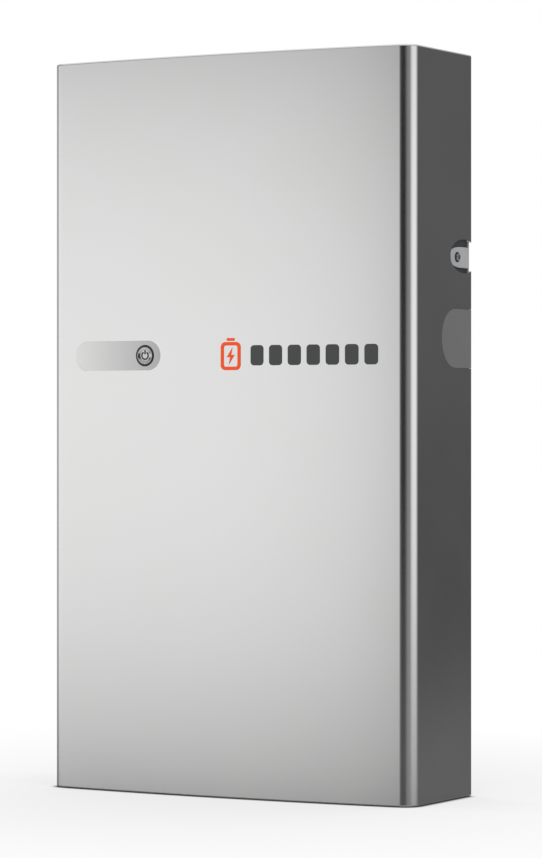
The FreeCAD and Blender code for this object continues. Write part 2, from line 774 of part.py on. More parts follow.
def make_chassis_tray():
    """Folded sheet tray, open at the front inside a narrow lip."""
    owner = body("tray")
    base = sketch(owner, "tray_plan", "XY_Plane", "chassis_bottom")
    rectangle(base, ("-chassis_half", "chassis_half"), ("chassis_front", "chassis_rear"))
    pad(owner, base, "chassis_top - chassis_bottom")
    tall = number_of("chassis_top - chassis_bottom")
    round_edges(owner, "3", lambda edge: abs(edge.BoundBox.ZLength - tall) < 1e-3)
    well = sketch(owner, "tray_well", "XZ_Plane", "-chassis_front - chassis_sheet")
    rectangle(well, ("-chassis_half + chassis_sheet", "chassis_half - chassis_sheet"),
              ("chassis_bottom + chassis_sheet", "chassis_top - chassis_sheet"))
    pocket(owner, well, "chassis_rear - chassis_front - 2 * chassis_sheet")
    mouth = sketch(owner, "tray_mouth", "XZ_Plane", "-chassis_front + 1")
    rectangle(mouth, ("-mouth_half", "mouth_half"),
              ("chassis_bottom + mouth_margin", "chassis_top - mouth_margin"))
    pocket(owner, mouth, "chassis_sheet + 2")
    wings = sketch(owner, "tray_wings", "XY_Plane", "chassis_bottom")
    for inner, outer in (("chassis_half - chassis_sheet", "chassis_half"),
                         ("-chassis_half", "-chassis_half + chassis_sheet")):
        rectangle(wings, (inner, outer), ("chassis_rear - 6", "wing_rear"))
    pad(owner, wings, "chassis_top - chassis_bottom")
    vents = []
    side_count = 6
    for i in range(-side_count, side_count + 1):
        x = f"{i} * 2 * vent_pitch"
        for j, y in enumerate(("-30", "26")):
            vents.append(box(f"tray_vent_{i + side_count}_{j}", (f"{x} - vent_width", f"{x} + vent_width"),
                             (f"{y} - 20", f"{y} + 20"), ("chassis_bottom - 5", "chassis_top + 5")))
    hubs = rod("tray_hub_holes", "x", ("-chassis_half - 5", "hub_y", "plug_level"),
               "hub_radius + 0.1", "2 * chassis_half + 10")
    screws = rod("tray_screw_holes", "x", ("-chassis_half - 5", "ear_screw_y", "ear_level"),
                 "ear_screw_shank + 0.02", "2 * chassis_half + 10")
    pins = [rod(f"tray_pin_hole_{i}", "y", (x, "chassis_front - 5", z), "2.52", "10")
            for i, (x, z) in enumerate(corner_places())]
    return node("chassis_tray", cut("tray_cut", owner, *vents, hubs, screws, *pins))


def make_cover_pins():
    """Round-nosed pins riveted to the tray's lip, which the cover's sockets push onto."""
    pieces = []
    for i, (x, z) in enumerate(corner_places()):
        shaft = rod(f"pin_shaft_{i}", "y", (x, "chassis_front - 7", z), "pin_radius", "7")
        nose = cone(f"pin_nose_{i}", "y", (x, "chassis_front - 9", z), "pin_radius - 1.5", "pin_radius", "2")
        rivet = rod(f"pin_rivet_{i}", "y", (x, "chassis_front", z), "2.5", "chassis_sheet")
        tail = rod(f"pin_tail_{i}", "y", (x, "chassis_front + chassis_sheet", z), "4", "1.5")
        pieces.append(fuse(f"pin_{i}", shaft, nose, rivet, tail))
    return node("cover_pins", group("pins", *pieces))


def make_chassis_hooks():
    """Two folded hooks behind the tray that drop over the bracket's upturned lips."""
    sheet = "bracket_sheet"
    end = "chassis_rear + hook_reach"
    pieces = []
    for i, x in enumerate(("-hook_x", "hook_x")):
        wide = (f"{x} - hook_width / 2 - 8", f"{x} + hook_width / 2 + 8")
        plate = box(f"hook_plate_{i}", wide, ("chassis_rear", f"chassis_rear + {sheet}"),
                    ("hook_level", "hook_level + hook_rise"))
        shelf = box(f"hook_shelf_{i}", wide, ("chassis_rear", end), ("hook_level", f"hook_level + {sheet}"))
        lip = box(f"hook_lip_{i}", wide, (f"{end} - {sheet}", end),
                  ("hook_level - hook_drop", f"hook_level + {sheet}"))
        rivets = [rod(f"hook_rivet_{i}_{j + 1}", "y", (f"{x} + {j} * 26", "chassis_rear", "hook_level + 28"),
                      "5", "4") for j in (-1, 0, 1)]
        pieces.append(fuse(f"hook_{i}", plate, shelf, lip, *rivets))
    return node("chassis_hooks", group("hooks", *pieces))


def make_wall_bracket():
    """Wall plate with bolt slots, two upturned lips for the hooks and a bent ear at each end."""
    back = ("wall - bracket_sheet", "wall")
    plate = rounded("bracket_plate", box("bracket_plate_box", ("-bracket_half", "bracket_half"), back,
                                         ("bracket_bottom", "bracket_top")), "y", "8")
    arms = body("bracket_arms")
    plan = sketch(arms, "arms_plan", "XY_Plane", "ear_level - arm_height / 2")
    outer, inner = "ear_outer_x", "ear_outer_x - bracket_sheet"
    outline(plan, [
        (f"-({outer})", "wall"), (outer, "wall"), (outer, "ear_nose_y"), (inner, "ear_nose_y"),
        (inner, "wall - bracket_sheet"), (f"-({inner})", "wall - bracket_sheet"),
        (f"-({inner})", "ear_nose_y"), (f"-({outer})", "ear_nose_y")])
    pad(arms, plan, "arm_height")
    round_edges(arms, "ear_bend", lambda edge: upright(edge, number_of("wall")))
    round_edges(arms, "ear_bend - bracket_sheet",
                lambda edge: upright(edge, number_of("wall - bracket_sheet")))
    owner = body("ear_outline")
    side = sketch(owner, "ear_side", "YZ_Plane", "-half_width - 5")
    ear_profile(side)
    pad(owner, side, "2 * half_width + 10")
    band = box("arm_band", ("-half_width", "half_width"), ("wall - 5.5", "wall + 1"),
               ("ear_level - arm_height / 2", "ear_level + arm_height / 2"))
    kept = common("bracket_arms_cut", arms, fuse("arm_limits", owner, band))
    lips = []
    for i, x in enumerate(("-hook_x", "hook_x")):
        wide = (f"{x} - hook_width / 2", f"{x} + hook_width / 2")
        lips.append(box(f"bracket_shelf_{i}", wide, ("lip_y", "wall - 1"),
                        ("hook_level - lip_drop", "hook_level - lip_drop + bracket_sheet")))
        lips.append(box(f"bracket_lip_{i}", wide, ("lip_y", "lip_y + bracket_sheet"),
                        ("hook_level - lip_drop", "hook_level")))
    holes = []
    for i, x in enumerate(("-bolt_spacing / 2", "bolt_spacing / 2")):
        for j, z in enumerate(("bracket_bottom + 25", "bracket_bottom + 25 + bolt_rise")):
            half = "bolt_slot_length / 2 - bolt_slot_radius"
            holes.append(slot_cutter(f"bolt_slot_{i}_{j}", "XZ_Plane", f"{x} - ({half})", f"{x} + ({half})",
                                     z, "bolt_slot_radius", "-wall - 5", "-wall + 10"))
    holes.append(rod("ear_screw_hole", "x", ("-half_width - 5", "ear_screw_y", "ear_level"),
                     "ear_screw_shank + 0.02", "2 * half_width + 10"))
    window = rounded("bracket_window", box("bracket_window_box", ("-70", "70"), ("wall - 9", "wall + 5"),
                                           ("bracket_bottom + 20", "bracket_bottom + 50")), "y", "8")
    return node("wall_bracket", cut("bracket_cut", fuse("bracket", plate, kept, *lips), *holes, window))


def upright(edge, y):
    """Whether an edge of the bracket's arms is a vertical one at an ear's bend."""
    bounds = edge.BoundBox
    at_y = abs(bounds.YMin - y) < 1e-3 and abs(bounds.YMax - y) < 1e-3
    vertical = bounds.ZLength > 1 and bounds.XLength < 1e-3
    return at_y and vertical and abs(bounds.XMin) > number_of("ear_outer_x - bracket_sheet") - 1


def ear_profile(drawing):
    """Side view of an ear: a bar with a blunt front and a quarter of an ellipse at each front corner."""
    bottom, top = (number_of(f"ear_level {sign} ear_height / 2") for sign in "-+")
    low, high = (number_of(f"ear_level {sign} ear_nose_flat / 2") for sign in "-+")
    back = number_of("wall + 5")
    nose = number_of("ear_nose_y")
    start = number_of("ear_nose_y + ear_nose_length")
    places = ((start, bottom), (back, bottom), (back, top), (start, top))
    corners = [FreeCAD.Vector(u, v, 0) for u, v in places]
    for i in range(3):
        drawing.addGeometry(Part.LineSegment(corners[i], corners[i + 1]))
    for level, first, last in ((high, 0, math.pi / 2), (low, -math.pi / 2, 0)):
        tip = FreeCAD.Vector(nose, level, 0)
        crest = FreeCAD.Vector(start, level + top - high, 0)
        corner = Part.Ellipse(tip, crest, FreeCAD.Vector(start, level, 0))
        drawing.addGeometry(Part.ArcOfEllipse(corner, first, last))
    drawing.addGeometry(Part.LineSegment(FreeCAD.Vector(nose, high, 0), FreeCAD.Vector(nose, low, 0)))
    for i in range(2):
        drawing.addConstraint(Sketcher.Constraint("Coincident", i, 2, i + 1, 1))
    hold(drawing, "DistanceX", 1, 1, "wall + 5")
    hold(drawing, "DistanceY", 1, 1, "ear_level - ear_height / 2")


def make_ear_screws():
    """Button-head screws that lock the tray to the bracket's ears."""
    def screw(side):
        tip = "ear_outer_x - 14" if side > 0 else "-ear_outer_x"
        shank = rod(f"ear_shank_{side + 1}", "x", (tip, "ear_screw_y", "ear_level"), "ear_screw_shank", "14")
        start = "ear_outer_x" if side > 0 else "-half_width"
        radii = ("ear_screw_head", "ear_screw_head - 2.2")
        low, high = radii if side > 0 else radii[::-1]
        head = cone(f"ear_head_{side + 1}", "x", (start, "ear_screw_y", "ear_level"), low, high,
                    "half_width - ear_outer_x")
        mouth = "half_width - 2" if side > 0 else "-half_width - 2"
        socket = rod(f"ear_socket_{side + 1}", "x", (mouth, "ear_screw_y", "ear_level"), "2", "4")
        return cut(f"ear_screw_{side + 1}", fuse(f"ear_screw_body_{side + 1}", shank, head), socket)
    return node("ear_screws", both_sides("ear_screw_pair", screw))


def make_wall_bumpers():
    """Rubber blocks that keep the unit's lower end off the wall."""
    def bumper(side):
        x = f"{side} * 200"
        block = box(f"bumper_box_{side + 1}", (f"{x} - 30", f"{x} + 30"), ("chassis_rear", "wall"),
                    ("90", "126"))
        return rounded(f"bumper_{side + 1}", block, "y", "6")
    return node("wall_bumpers", both_sides("bumper_pair", bumper))


# ---------------------------------------------------------------- battery

def lid_screw_places():
    """Screw centres around the tub's flange."""
    edge_x = "tub_half + flange_reach - 5"
    low, high = "tub_bottom - flange_reach + 5", "tub_top + flange_reach - 5"
    places = [(f"{side} * ({edge_x})", f"{low} + {i} * ({high} - ({low})) / 4")
              for side in (-1, 1) for i in range(5)]
    places += [(f"{i} * lid_screw_pitch", level) for level in (low, high) for i in (-1, 0, 1)]
    return places


def screw_holes(name, radius):
    return [rod(f"{name}_{i}", "y", (x, "flange_front - 10", z), radius, "20")
            for i, (x, z) in enumerate(lid_screw_places())]


def flange_box(name, y):
    """Block with the outline of the tub's flange."""
    reach = "flange_reach"
    block = box(name + "_box", (f"-(tub_half + {reach})", f"tub_half + {reach}"), y,
                (f"tub_bottom - {reach}", f"tub_top + {reach}"))
    return rounded(name, block, "y", "flange_round")


def make_battery_tub():
    """Cast tub with a screw flange around its open front."""
    outside = rounded("tub_outside", box("tub_box", ("-tub_half", "tub_half"), ("flange_front", "inner_face"),
                                         ("tub_bottom", "tub_top")), "y", "10")
    flange = flange_box("tub_flange", ("flange_front", "flange_front + flange_sheet"))
    well = rounded("tub_well", box(
        "tub_well_box", ("-tub_half + tub_wall", "tub_half - tub_wall"),
        ("flange_front - 5", "inner_face - tub_wall"),
        ("tub_bottom + tub_wall", "tub_top - tub_wall")), "y", "2")
    glands = [rod(f"tub_gland_hole_{i}", "z", (x, "0", "tub_top - 9"), "7.05", "18")
              for i, x in enumerate(gland_places())]
    ribs = []
    for i in range(5):
        for side in (-1, 1):
            x = ("tub_half", "tub_half + 8") if side > 0 else ("-tub_half - 8", "-tub_half")
            level = f"tub_bottom + 45 + {i} * 95"
            ribs.append(box(f"tub_rib_{i}_{side + 1}", x, ("flange_front + 1", "inner_face - 8"),
                            (level, f"{level} + 4")))
    holes = screw_holes("tub_screw_hole", "lid_screw_shank")
    return node("battery_tub", cut("tub_cut", fuse("tub", outside, flange, *ribs), well, *glands, *holes))


def make_battery_gasket():
    seat = ("flange_front - gasket_sheet", "flange_front")
    outside = flange_box("gasket_outside", seat)
    inside = rounded("gasket_inside", box(
        "gasket_inside_box", ("-tub_half + 1", "tub_half - 1"), ("flange_front - 9", "flange_front + 9"),
        ("tub_bottom + 1", "tub_top - 1")), "y", "3")
    return node("battery_gasket", cut("gasket", outside, inside,
                                      *screw_holes("gasket_hole", "lid_screw_shank")))


def lid_field(name, y, inset):
    """Block over the lid's raised field, drawn in from its edge by the inset."""
    margin = f"lid_margin + ({inset})"
    return rounded(name, box(
        name + "_box", (f"-tub_half + {margin}", f"tub_half - ({margin})"), y,
        (f"tub_bottom + {margin}", f"tub_top - ({margin})")), "y", f"14 - ({inset})")


def groove_block(name, i, y, grow):
    """Block over one of the lid's long grooves, grown on every side."""
    low = f"tub_bottom + 80 + {i} * groove_pitch - ({grow})"
    return box(name, (f"-tub_half + 50 - ({grow})", f"tub_half - 50 + ({grow})"), y,
               (low, f"{low} + groove_height + 2 * ({grow})"))


def make_battery_lid():
    """Pressed lid: one thickness of sheet with a raised field and grooves sunk into it."""
    plate = flange_box("lid_plate", ("lid_front", "flange_front - gasket_sheet"))
    face = "lid_front - lid_rise"
    field = lid_field("lid_field", (face, "lid_front"), "0")
    inside = lid_field("lid_inside", (f"{face} + lid_sheet", "flange_front"), "lid_sheet")
    grooves, backs = [], []
    for i in range(count_of("groove_count")):
        groove = groove_block(f"lid_groove_box_{i}", i, (f"{face} - 1", f"{face} + groove_depth"), "0")
        grooves.append(rounded(f"lid_groove_{i}", groove, "y", "groove_height / 2 - 0.5"))
        backs.append(groove_block(f"lid_groove_back_{i}", i, (face, f"{face} + groove_depth + lid_sheet"),
                                  "lid_sheet"))
    void = cut("lid_void", inside, *backs)
    vent = rod("lid_vent_hole", "y", ("tub_half - 46", "lid_front - 9", "tub_top - 46"), "8.05", "18")
    return node("battery_lid", cut("lid", fuse("lid_pressed", plate, field), void, *grooves, vent,
                                   *screw_holes("lid_hole", "lid_screw_shank")))


def make_lid_screws():
    pieces = []
    for i, (x, z) in enumerate(lid_screw_places()):
        head = rod(f"lid_head_{i}", "y", (x, "lid_front - 3", z), "lid_screw_head", "3")
        shank = rod(f"lid_shank_{i}", "y", (x, "lid_front", z), "lid_screw_shank",
                    "flange_front + flange_sheet - lid_front")
        socket = rod(f"lid_socket_{i}", "y", (x, "lid_front - 4", z), "2", "3")
        pieces.append(cut(f"lid_screw_{i}", fuse(f"lid_screw_body_{i}", head, shank), socket))
    return node("lid_screws", group("lid_screw_set", *pieces))


def make_pressure_vent():
    """Screwed-in vent that lets the tub breathe, with slots around its cap."""
    centre = ("tub_half - 46", "tub_top - 46")
    face = "lid_front - lid_rise"
    stem = rod("vent_stem", "y", (centre[0], face, centre[1]), "8", "12")
    cap = rod("vent_cap", "y", (centre[0], f"{face} - 5", centre[1]), "14", "5")
    slots = []
    for i in range(4):
        slot = box(f"vent_slot_{i}", (f"{centre[0]} - 15", f"{centre[0]} + 15"),
                   (f"{face} - 3.6", f"{face} - 2"), (f"{centre[1]} - 1.5", f"{centre[1]} + 1.5"))
        ring = rod(f"vent_core_{i}", "y", (centre[0], f"{face} - 6", centre[1]), "11", "9")
        slot_cut = cut(f"vent_slot_cut_{i}", slot, ring)
        turn = FreeCAD.Rotation(FreeCAD.Vector(0, 1, 0), 45 * i)
        slot_cut.Placement = FreeCAD.Placement(FreeCAD.Vector(), turn, spot(centre[0], "0", centre[1]))
        slots.append(slot_cut)
    return node("pressure_vent", cut("vent", fuse("vent_body", stem, cap), *slots))


def make_cells(name, side):
    """One stack of prismatic cells, each with its two terminals on the front."""
    centre = "stack_x" if side > 0 else "-stack_x"
    can = rounded(name + "_can", box(
        name + "_can_box", (f"{centre} - cell_width / 2", f"{centre} + cell_width / 2"),
        ("cell_front", "cell_rear"), ("first_cell", "first_cell + cell_sheet")), "y", "2.5")
    terminals = [box(f"{name}_terminal_{i}", (f"{centre} + ({x}) - 11", f"{centre} + ({x}) + 11"),
                     ("cell_front - terminal_rise", "cell_front"),
                     ("first_cell + 9", "first_cell + cell_sheet - 9"))
                 for i, x in enumerate(("-terminal_x", "terminal_x"))]
    vent = rod(name + "_vent", "y", (f"{centre} + 24", "cell_front - 0.6", "first_cell + cell_sheet / 2"),
               "7", "1")
    first = fuse(name + "_cell", can, vent, *terminals)
    cells = [first]
    for i in range(1, count_of("cell_count")):
        copy = DOC.addObject("Part::Compound", f"{name}_cell_{i}")
        copy.Links = [first]
        bind(copy, Placement_Base_z=f"{i} * cell_pitch")
        cells.append(copy)
    return node(name, group(name + "_stack", *cells))


def make_cell_pads():
    """Thin elastic sheets between the cells and against the end plates."""
    pads = []
    for side, x in enumerate(("-stack_x", "stack_x")):
        for i in range(count_of("cell_count") + 1):
            level = f"first_cell - cell_pad + {i} * cell_pitch"
            pads.append(box(f"pad_{side}_{i}", (f"{x} - cell_width / 2 + 4", f"{x} + cell_width / 2 - 4"),
                            ("cell_front + 4", "cell_rear - 4"), (level, f"{level} + cell_pad")))
    return node("cell_pads", group("pad_set", *pads))


def make_end_plates():
    plates = []
    for side, x in enumerate(("-stack_x", "stack_x")):
        for end, level in enumerate(("stack_bottom", "stack_top")):
            block = box(f"end_box_{side}_{end}", (f"{x} - cell_width / 2", f"{x} + cell_width / 2"),
                        ("cell_front", "cell_rear"), (level, f"{level} + end_sheet"))
            plates.append(rounded(f"end_plate_{side}_{end}", block, "y", "2"))
    return node("end_plates", group("end_plate_set", *plates))


def make_compression_bands():
    """Steel bands that squeeze each stack between its end plates."""
    bands = []
    for side, x in enumerate(("-stack_x", "stack_x")):
        wide = (f"{x} - band_width / 2", f"{x} + band_width / 2")
        outer = box(f"band_outer_{side}", wide, ("cell_front - band_sheet", "cell_rear + band_sheet"),
                    ("stack_bottom - band_sheet", "stack_top + end_sheet + band_sheet"))
        inner = box(f"band_inner_{side}", (f"{wide[0]} - 1", f"{wide[1]} + 1"), ("cell_front", "cell_rear"),
                    ("stack_bottom", "stack_top + end_sheet"))
        bands.append(cut(f"band_{side}", outer, inner))
    return node("compression_bands", group("band_set", *bands))


def make_busbars():
    """Series links that zigzag up each stack, and the link across the two stacks."""
    face = ("cell_front - terminal_rise - busbar_sheet", "cell_front - terminal_rise")
    links = []
    for side, x in enumerate(("-stack_x", "stack_x")):
        for i in range(count_of("cell_count") - 1):
            middle = f"{x} + terminal_x" if (i + side) % 2 else f"{x} - terminal_x"
            level = f"first_cell + {i} * cell_pitch"
            wide = (f"{middle} - busbar_width / 2", f"{middle} + busbar_width / 2")
            block = box(f"link_box_{side}_{i}", wide, face,
                        (f"{level} + 6", f"{level} + cell_pitch + cell_sheet - 6"))
            links.append(rounded(f"link_{side}_{i}", block, "y", "4"))
    top = "first_cell + (cell_count - 1) * cell_pitch"
    reach = "stack_x - terminal_x + busbar_width / 2"
    across = box("link_across_box", (f"-({reach})", reach), face, (f"{top} + 8", f"{top} + cell_sheet - 8"))
    links.append(rounded("link_across", across, "y", "4"))
    return node("busbars", group("busbar_set", *links))


def make_busbar_carrier():
    """Insulating frame over the busbars, with windows and board posts."""
    back = "-42.5"
    face = f"{back} - 2.5"
    plate = box("carrier_plate", ("-tub_half + 8", "tub_half - 8"), (face, back), ("60", "496"))
    windows = []
    for side in (-1, 1):
        for i in range(4):
            x = f"{side} * 150"
            level = f"80 + {i} * 102"
            windows.append(rounded(f"carrier_window_{side + 1}_{i}", box(
                f"carrier_window_box_{side + 1}_{i}", (f"{x} - 42", f"{x} + 42"), ("-50", "-40"),
                (level, f"{level} + 74")), "y", "8"))
    posts = [rod(f"carrier_post_{i}_{j}", "y", (x, "-48", z), "4", "4")
             for i, x in enumerate(("-62", "62")) for j, z in enumerate(("196", "364"))]
    legs = [box(f"carrier_leg_{i}_{j}", (f"{x} - 3", f"{x} + 3"), ("-43", "cell_front"), (z, f"{z} + 10"))
            for i, x in enumerate(("-stack_x - 40", "-stack_x + 40", "stack_x - 40", "stack_x + 40"))
            for j, z in enumerate(("62", "484"))]
    return node("busbar_carrier", fuse("carrier", cut("carrier_cut", plate, *windows), *posts, *legs))


def make_bms_board():
    """Management board with its relay, chips and cell-sense headers."""
    back = "-48"
    face = f"{back} - 1.6"
    board = rounded("bms_plate", box("bms_box", ("-70", "70"), (face, back), ("186", "374")), "y", "4")
    relay = box("bms_relay", ("-52", "-20"), (f"{face} - 7", face), ("320", "362"))
    chips = [chip(f"bms_chip_{i}", x, z, 14, face, 1.6)
             for i, (x, z) in enumerate(((-8, 300), (18, 300), (-30, 262), (8, 254), (30, 230)))]
    headers = [box(f"bms_header_{i}", (x, f"{x} + 7"), (f"{face} - 6", face), ("206", "296"))
               for i, x in enumerate(("-64", "57"))]
    return node("bms_board", fuse("bms", board, relay, *chips, *headers))


def chip(name, x, z, width, face, height):
    """A square part that stands forward of a board's face."""
    return box(name, (str(x), f"{x} + {width}"), (f"{face} - {height}", face), (str(z), f"{z} + {width}"))


def gland_places():
    return ("breaker_x - pole_spread", "breaker_x + pole_spread")


def make_dc_glands():
    pieces = []
    for i, x in enumerate(gland_places()):
        thread = rod(f"gland_thread_{i}", "z", (x, "0", "tub_top - 5"), "7", "6")
        nut = DOC.addObject("Part::Prism", f"gland_nut_{i}")
        nut.Polygon = 6
        bind(nut, Circumradius="9.5", Height="7", Placement_Base_x=x, Placement_Base_z="tub_top")
        dome = cone(f"gland_dome_{i}", "z", (x, "0", "tub_top + 7"), "8", "6.5", "7")
        inner = rod(f"gland_bore_{i}", "z", (x, "0", "tub_top - 20"), "4.5", "50")
        pieces.append(cut(f"gland_{i}", fuse(f"gland_body_{i}", thread, nut, dome), inner))
    return node("dc_glands", group("gland_set", *pieces))


def pipe(name, points, radius, bend):
    """A round cable through the points, with its bends rounded."""
    edges = []
    here = points[0]
    for i in range(1, len(points) - 1):
        before = (points[i - 1] - points[i]).normalize()
        after = (points[i + 1] - points[i]).normalize()
        opening = before.getAngle(after)
        run = bend / math.tan(opening / 2)
        start = points[i] + before * run
        end = points[i] + after * run
        middle = points[i] + (before + after).normalize() * (bend / math.sin(opening / 2) - bend)
        edges.append(Part.makeLine(here, start))
        edges.append(Part.Arc(start, middle, end).toShape())
        here = end
    edges.append(Part.makeLine(here, points[-1]))
    path = Part.Wire(edges)
    across = points[1] - points[0]
    section = Part.Wire(Part.makeCircle(radius, points[0], across))
    cable = DOC.addObject("Part::Feature", name)
    cable.Shape = path.makePipeShell([section], True, False)
    return cable


def make_pack_cables():
    """Two heavy leads from the tub's glands up to the breaker."""
    leads = []
    for i, x in enumerate(gland_places()):
        points = [spot(x, "0", "tub_top - 4"), spot(x, "0", "rail_level - 40")]
        leads.append(pipe(f"pack_lead_{i}", points, 4.5, 12))
    return node("pack_cables", group("pack_leads", *leads))


# ---------------------------------------------------------------- microinverters

def inverter_places():
    return [(side, row) for row in range(3) for side in (-1, 1)]


def make_microinverter(number, side, row):
    """Potted power converter: a flange, a deep case and upright cooling fins."""
    name = f"microinverter_{number}"
    owner = body(name + "_case")
    bind(owner, Placement_Base_x=f"{side} * inverter_x")
    bind(owner, Placement_Base_z=f"inverter_low + {row} * inverter_pitch")
    flange = sketch(owner, name + "_flange", "XZ_Plane", "-inverter_rear")
    rectangle(flange, ("-inverter_width / 2", "inverter_width / 2"),
              ("-inverter_height / 2", "inverter_height / 2"))
    pad(owner, flange, "inverter_flange")
    case = sketch(owner, name + "_case_outline", "XZ_Plane", "-inverter_rear + inverter_flange")
    rectangle(case, ("-inverter_width / 2 + 8", "inverter_width / 2 - 8"),
              ("-inverter_height / 2 + 4", "inverter_height / 2 - 4"))
    pad(owner, case, "inverter_body")
    round_edges(owner, "4", lambda edge: edge.BoundBox.YLength > number_of("inverter_body") - 1e-3)
    fin = sketch(owner, name + "_fin", "XZ_Plane", "-inverter_rear + inverter_flange + inverter_body")
    rectangle(fin, ("-4 * fin_pitch - fin_sheet / 2", "-4 * fin_pitch + fin_sheet / 2"),
              ("-inverter_height / 2 + 8", "inverter_height / 2 - 8"))
    blade = pad(owner, fin, "fin_height")
    DOC.recompute()
    pattern = owner.newObject("PartDesign::LinearPattern", name + "_fins")
    pattern.Originals = [blade]
    pattern.Direction = (fin, ["H_Axis"])
    pattern.Occurrences = 9
    bind(pattern, Length="8 * fin_pitch")
    owner.Tip = pattern
    holes = [rod(f"{name}_hole_{i}", "y", (f"{side} * inverter_x + {dx}", "inverter_rear - 6",
                                           f"inverter_low + {row} * inverter_pitch"), "2.5", "12")
             for i, dx in enumerate((-96, 96))]
    return node(name, cut(name + "_drilled", owner, *holes))


def make_inverter_rails():
    """Upright hat rails that carry the microinverters in front of the tray's back."""
    rails = []
    for i, x in enumerate(rail_places()):
        wide = (f"{x} - 11", f"{x} + 11")
        tall = ("inverter_low - inverter_height / 2 - 8",
                "inverter_low + 2 * inverter_pitch + inverter_height / 2 + 8")
        outer = box(f"hat_outer_{i}", wide, ("inverter_rear", "inner_face"), tall)
        inner = box(f"hat_inner_{i}", (f"{x} - 11 + rail_sheet", f"{x} + 11 - rail_sheet"),
                    ("inverter_rear + rail_sheet", "inner_face + 1"), (f"{tall[0]} - 1", f"{tall[1]} + 1"))
        feet = box(f"hat_feet_{i}", (f"{x} - 19", f"{x} + 19"),
                   ("inner_face - rail_sheet", "inner_face"), tall)
        holes = []
        for row in range(3):
            level = f"inverter_low + {row} * inverter_pitch"
            holes.append(rod(f"hat_hole_{i}_{row}", "y", (x, "inverter_rear - 5", level), "2.5", "10"))
        rails.append(cut(f"hat_{i}", fuse(f"hat_body_{i}", outer, feet), inner, *holes))
    return node("inverter_rails", group("hat_rails", *rails))


def rail_places():
    return [f"{side} * inverter_x + {dx}" for side in (-1, 1) for dx in (-96, 96)]


def make_inverter_screws():
    pieces = []
    for i, x in enumerate(rail_places()):
        for row in range(3):
            level = f"inverter_low + {row} * inverter_pitch"
            face = "inverter_rear - inverter_flange"
            head = rod(f"inverter_head_{i}_{row}", "y", (x, f"{face} - 3", level), "3.8", "3")
            shank = rod(f"inverter_shank_{i}_{row}", "y", (x, face, level), "2.5", "8")
            pieces.append(fuse(f"inverter_screw_{i}_{row}", head, shank))
    return node("inverter_screws", group("inverter_screw_set", *pieces))


def make_inverter_plugs():
    """Round cable connectors: one on each converter's inner end, one on its outer end."""
    plugs = []
    for number, (side, row) in enumerate(inverter_places()):
        level = f"inverter_low + {row} * inverter_pitch"
        spans = {"ac": ("5.1", "inverter_x - inverter_width / 2 + 8"),
                 "dc": ("inverter_x + inverter_width / 2 - 8", "inverter_x + inverter_width / 2 + 10.4")}
        for kind, (near, far) in spans.items():
            start = near if side > 0 else f"-({far})"
            length = f"({far}) - ({near})"
            barrel = rod(f"plug_{kind}_{number}", "x", (start, "22", level), "5.5", length)
            plugs.append(barrel)
    return node("inverter_plugs", group("plug_set", *plugs))


def make_ac_trunk_cable():
    """Trunk between the two columns, down into the wiring box."""
    low = spot("0", "22", "bay_top - 14")
    return node("ac_trunk_cable", pipe("trunk", [low, spot("0", "22", "941")], 5, 10))


def make_dc_harness():
    """A lead up each outer side, bent outward from the top of the wiring box."""
    leads = []
    for i, side in enumerate((-1, 1)):
        x = f"{side} * 208"
        out = f"{side} * 231"
        points = [spot(x, "22", "bay_top - 12"), spot(x, "22", "bay_top + 5"),
                  spot(out, "22", "bay_top + 24"), spot(out, "22", "941")]
        leads.append(pipe(f"harness_{i}", points, 4.5, 9))
    return node("dc_harness", group("harness", *leads))


# ---------------------------------------------------------------- wiring bay

def make_wiring_box():
    """Open-fronted moulded box with bosses for the panel, the rail and the board."""
    outside = rounded("bay_outside", box("bay_box", ("-bay_half", "bay_half"), ("bay_front", "inner_face"),
                                         ("bay_bottom", "bay_top")), "y", "6")
    well = rounded("bay_well", box(
        "bay_well_box", ("-bay_half + bay_wall", "bay_half - bay_wall"),
        ("bay_front - 5", "inner_face - bay_wall"),
        ("bay_bottom + bay_wall", "bay_top - bay_wall")), "y", "3.5")
    back = "inner_face - bay_wall"
    bosses = [rod(f"bay_boss_{i}", "y", (x, "bay_front", z), "7", f"{back} + 1 - bay_front")
              for i, (x, z) in enumerate(panel_screw_places())]
    stands = [box(f"bay_stand_{i}", (x, f"{x} + 14"), ("rail_front + 7.5", f"{back} + 1"),
                  ("rail_level - 14", "rail_level + 14")) for i, x in enumerate(("-64", "188"))]
    posts = [rod(f"bay_post_{i}", "y", (x, "8", z), "4", f"{back} + 1 - 8")
             for i, (x, z) in enumerate(board_screw_places())]
    shelf = [box(f"bay_ground_stand_{i}", (x, f"{x} + 10"), ("30", f"{back} + 1"), ("650", "662"))
             for i, x in enumerate(("100", "190"))]
    holes = [rod(f"bay_lead_hole_{i}", "z", (x, "0", "bay_bottom - 5"), "5.5", "12")
             for i, x in enumerate(gland_places())]
    holes += [rod("bay_trunk_hole", "z", ("0", "22", "bay_top - 8"), "6", "12")]
    holes += [rod(f"bay_harness_hole_{i}", "z", (f"{side} * 208", "22", "bay_top - 8"), "6", "12")
              for i, side in enumerate((-1, 1))]
    holes += [rod("bay_hub_hole", "x", ("-bay_half - 5", "hub_y", "plug_level"), "hub_radius + 0.1",
                  "2 * bay_half + 10")]
    screws = [rod(f"bay_screw_hole_{i}", "y", (x, "bay_front - 5", z), "2", "17")
              for i, (x, z) in enumerate(panel_screw_places())]
    shell = cut("bay_shell", outside, well)
    whole = fuse("bay", shell, *bosses, *stands, *posts, *shelf)
    return node("wiring_box", cut("bay_cut", whole, *holes, *screws))


def panel_screw_places():
    across = ("-bay_half + 9", "-82", "82", "bay_half - 9")
    return [(x, z) for x in across for z in ("bay_bottom + 9", "bay_top - 9")]


def board_screw_places():
    return [(x, z) for x in ("-206", "-86") for z in ("562", "650")]


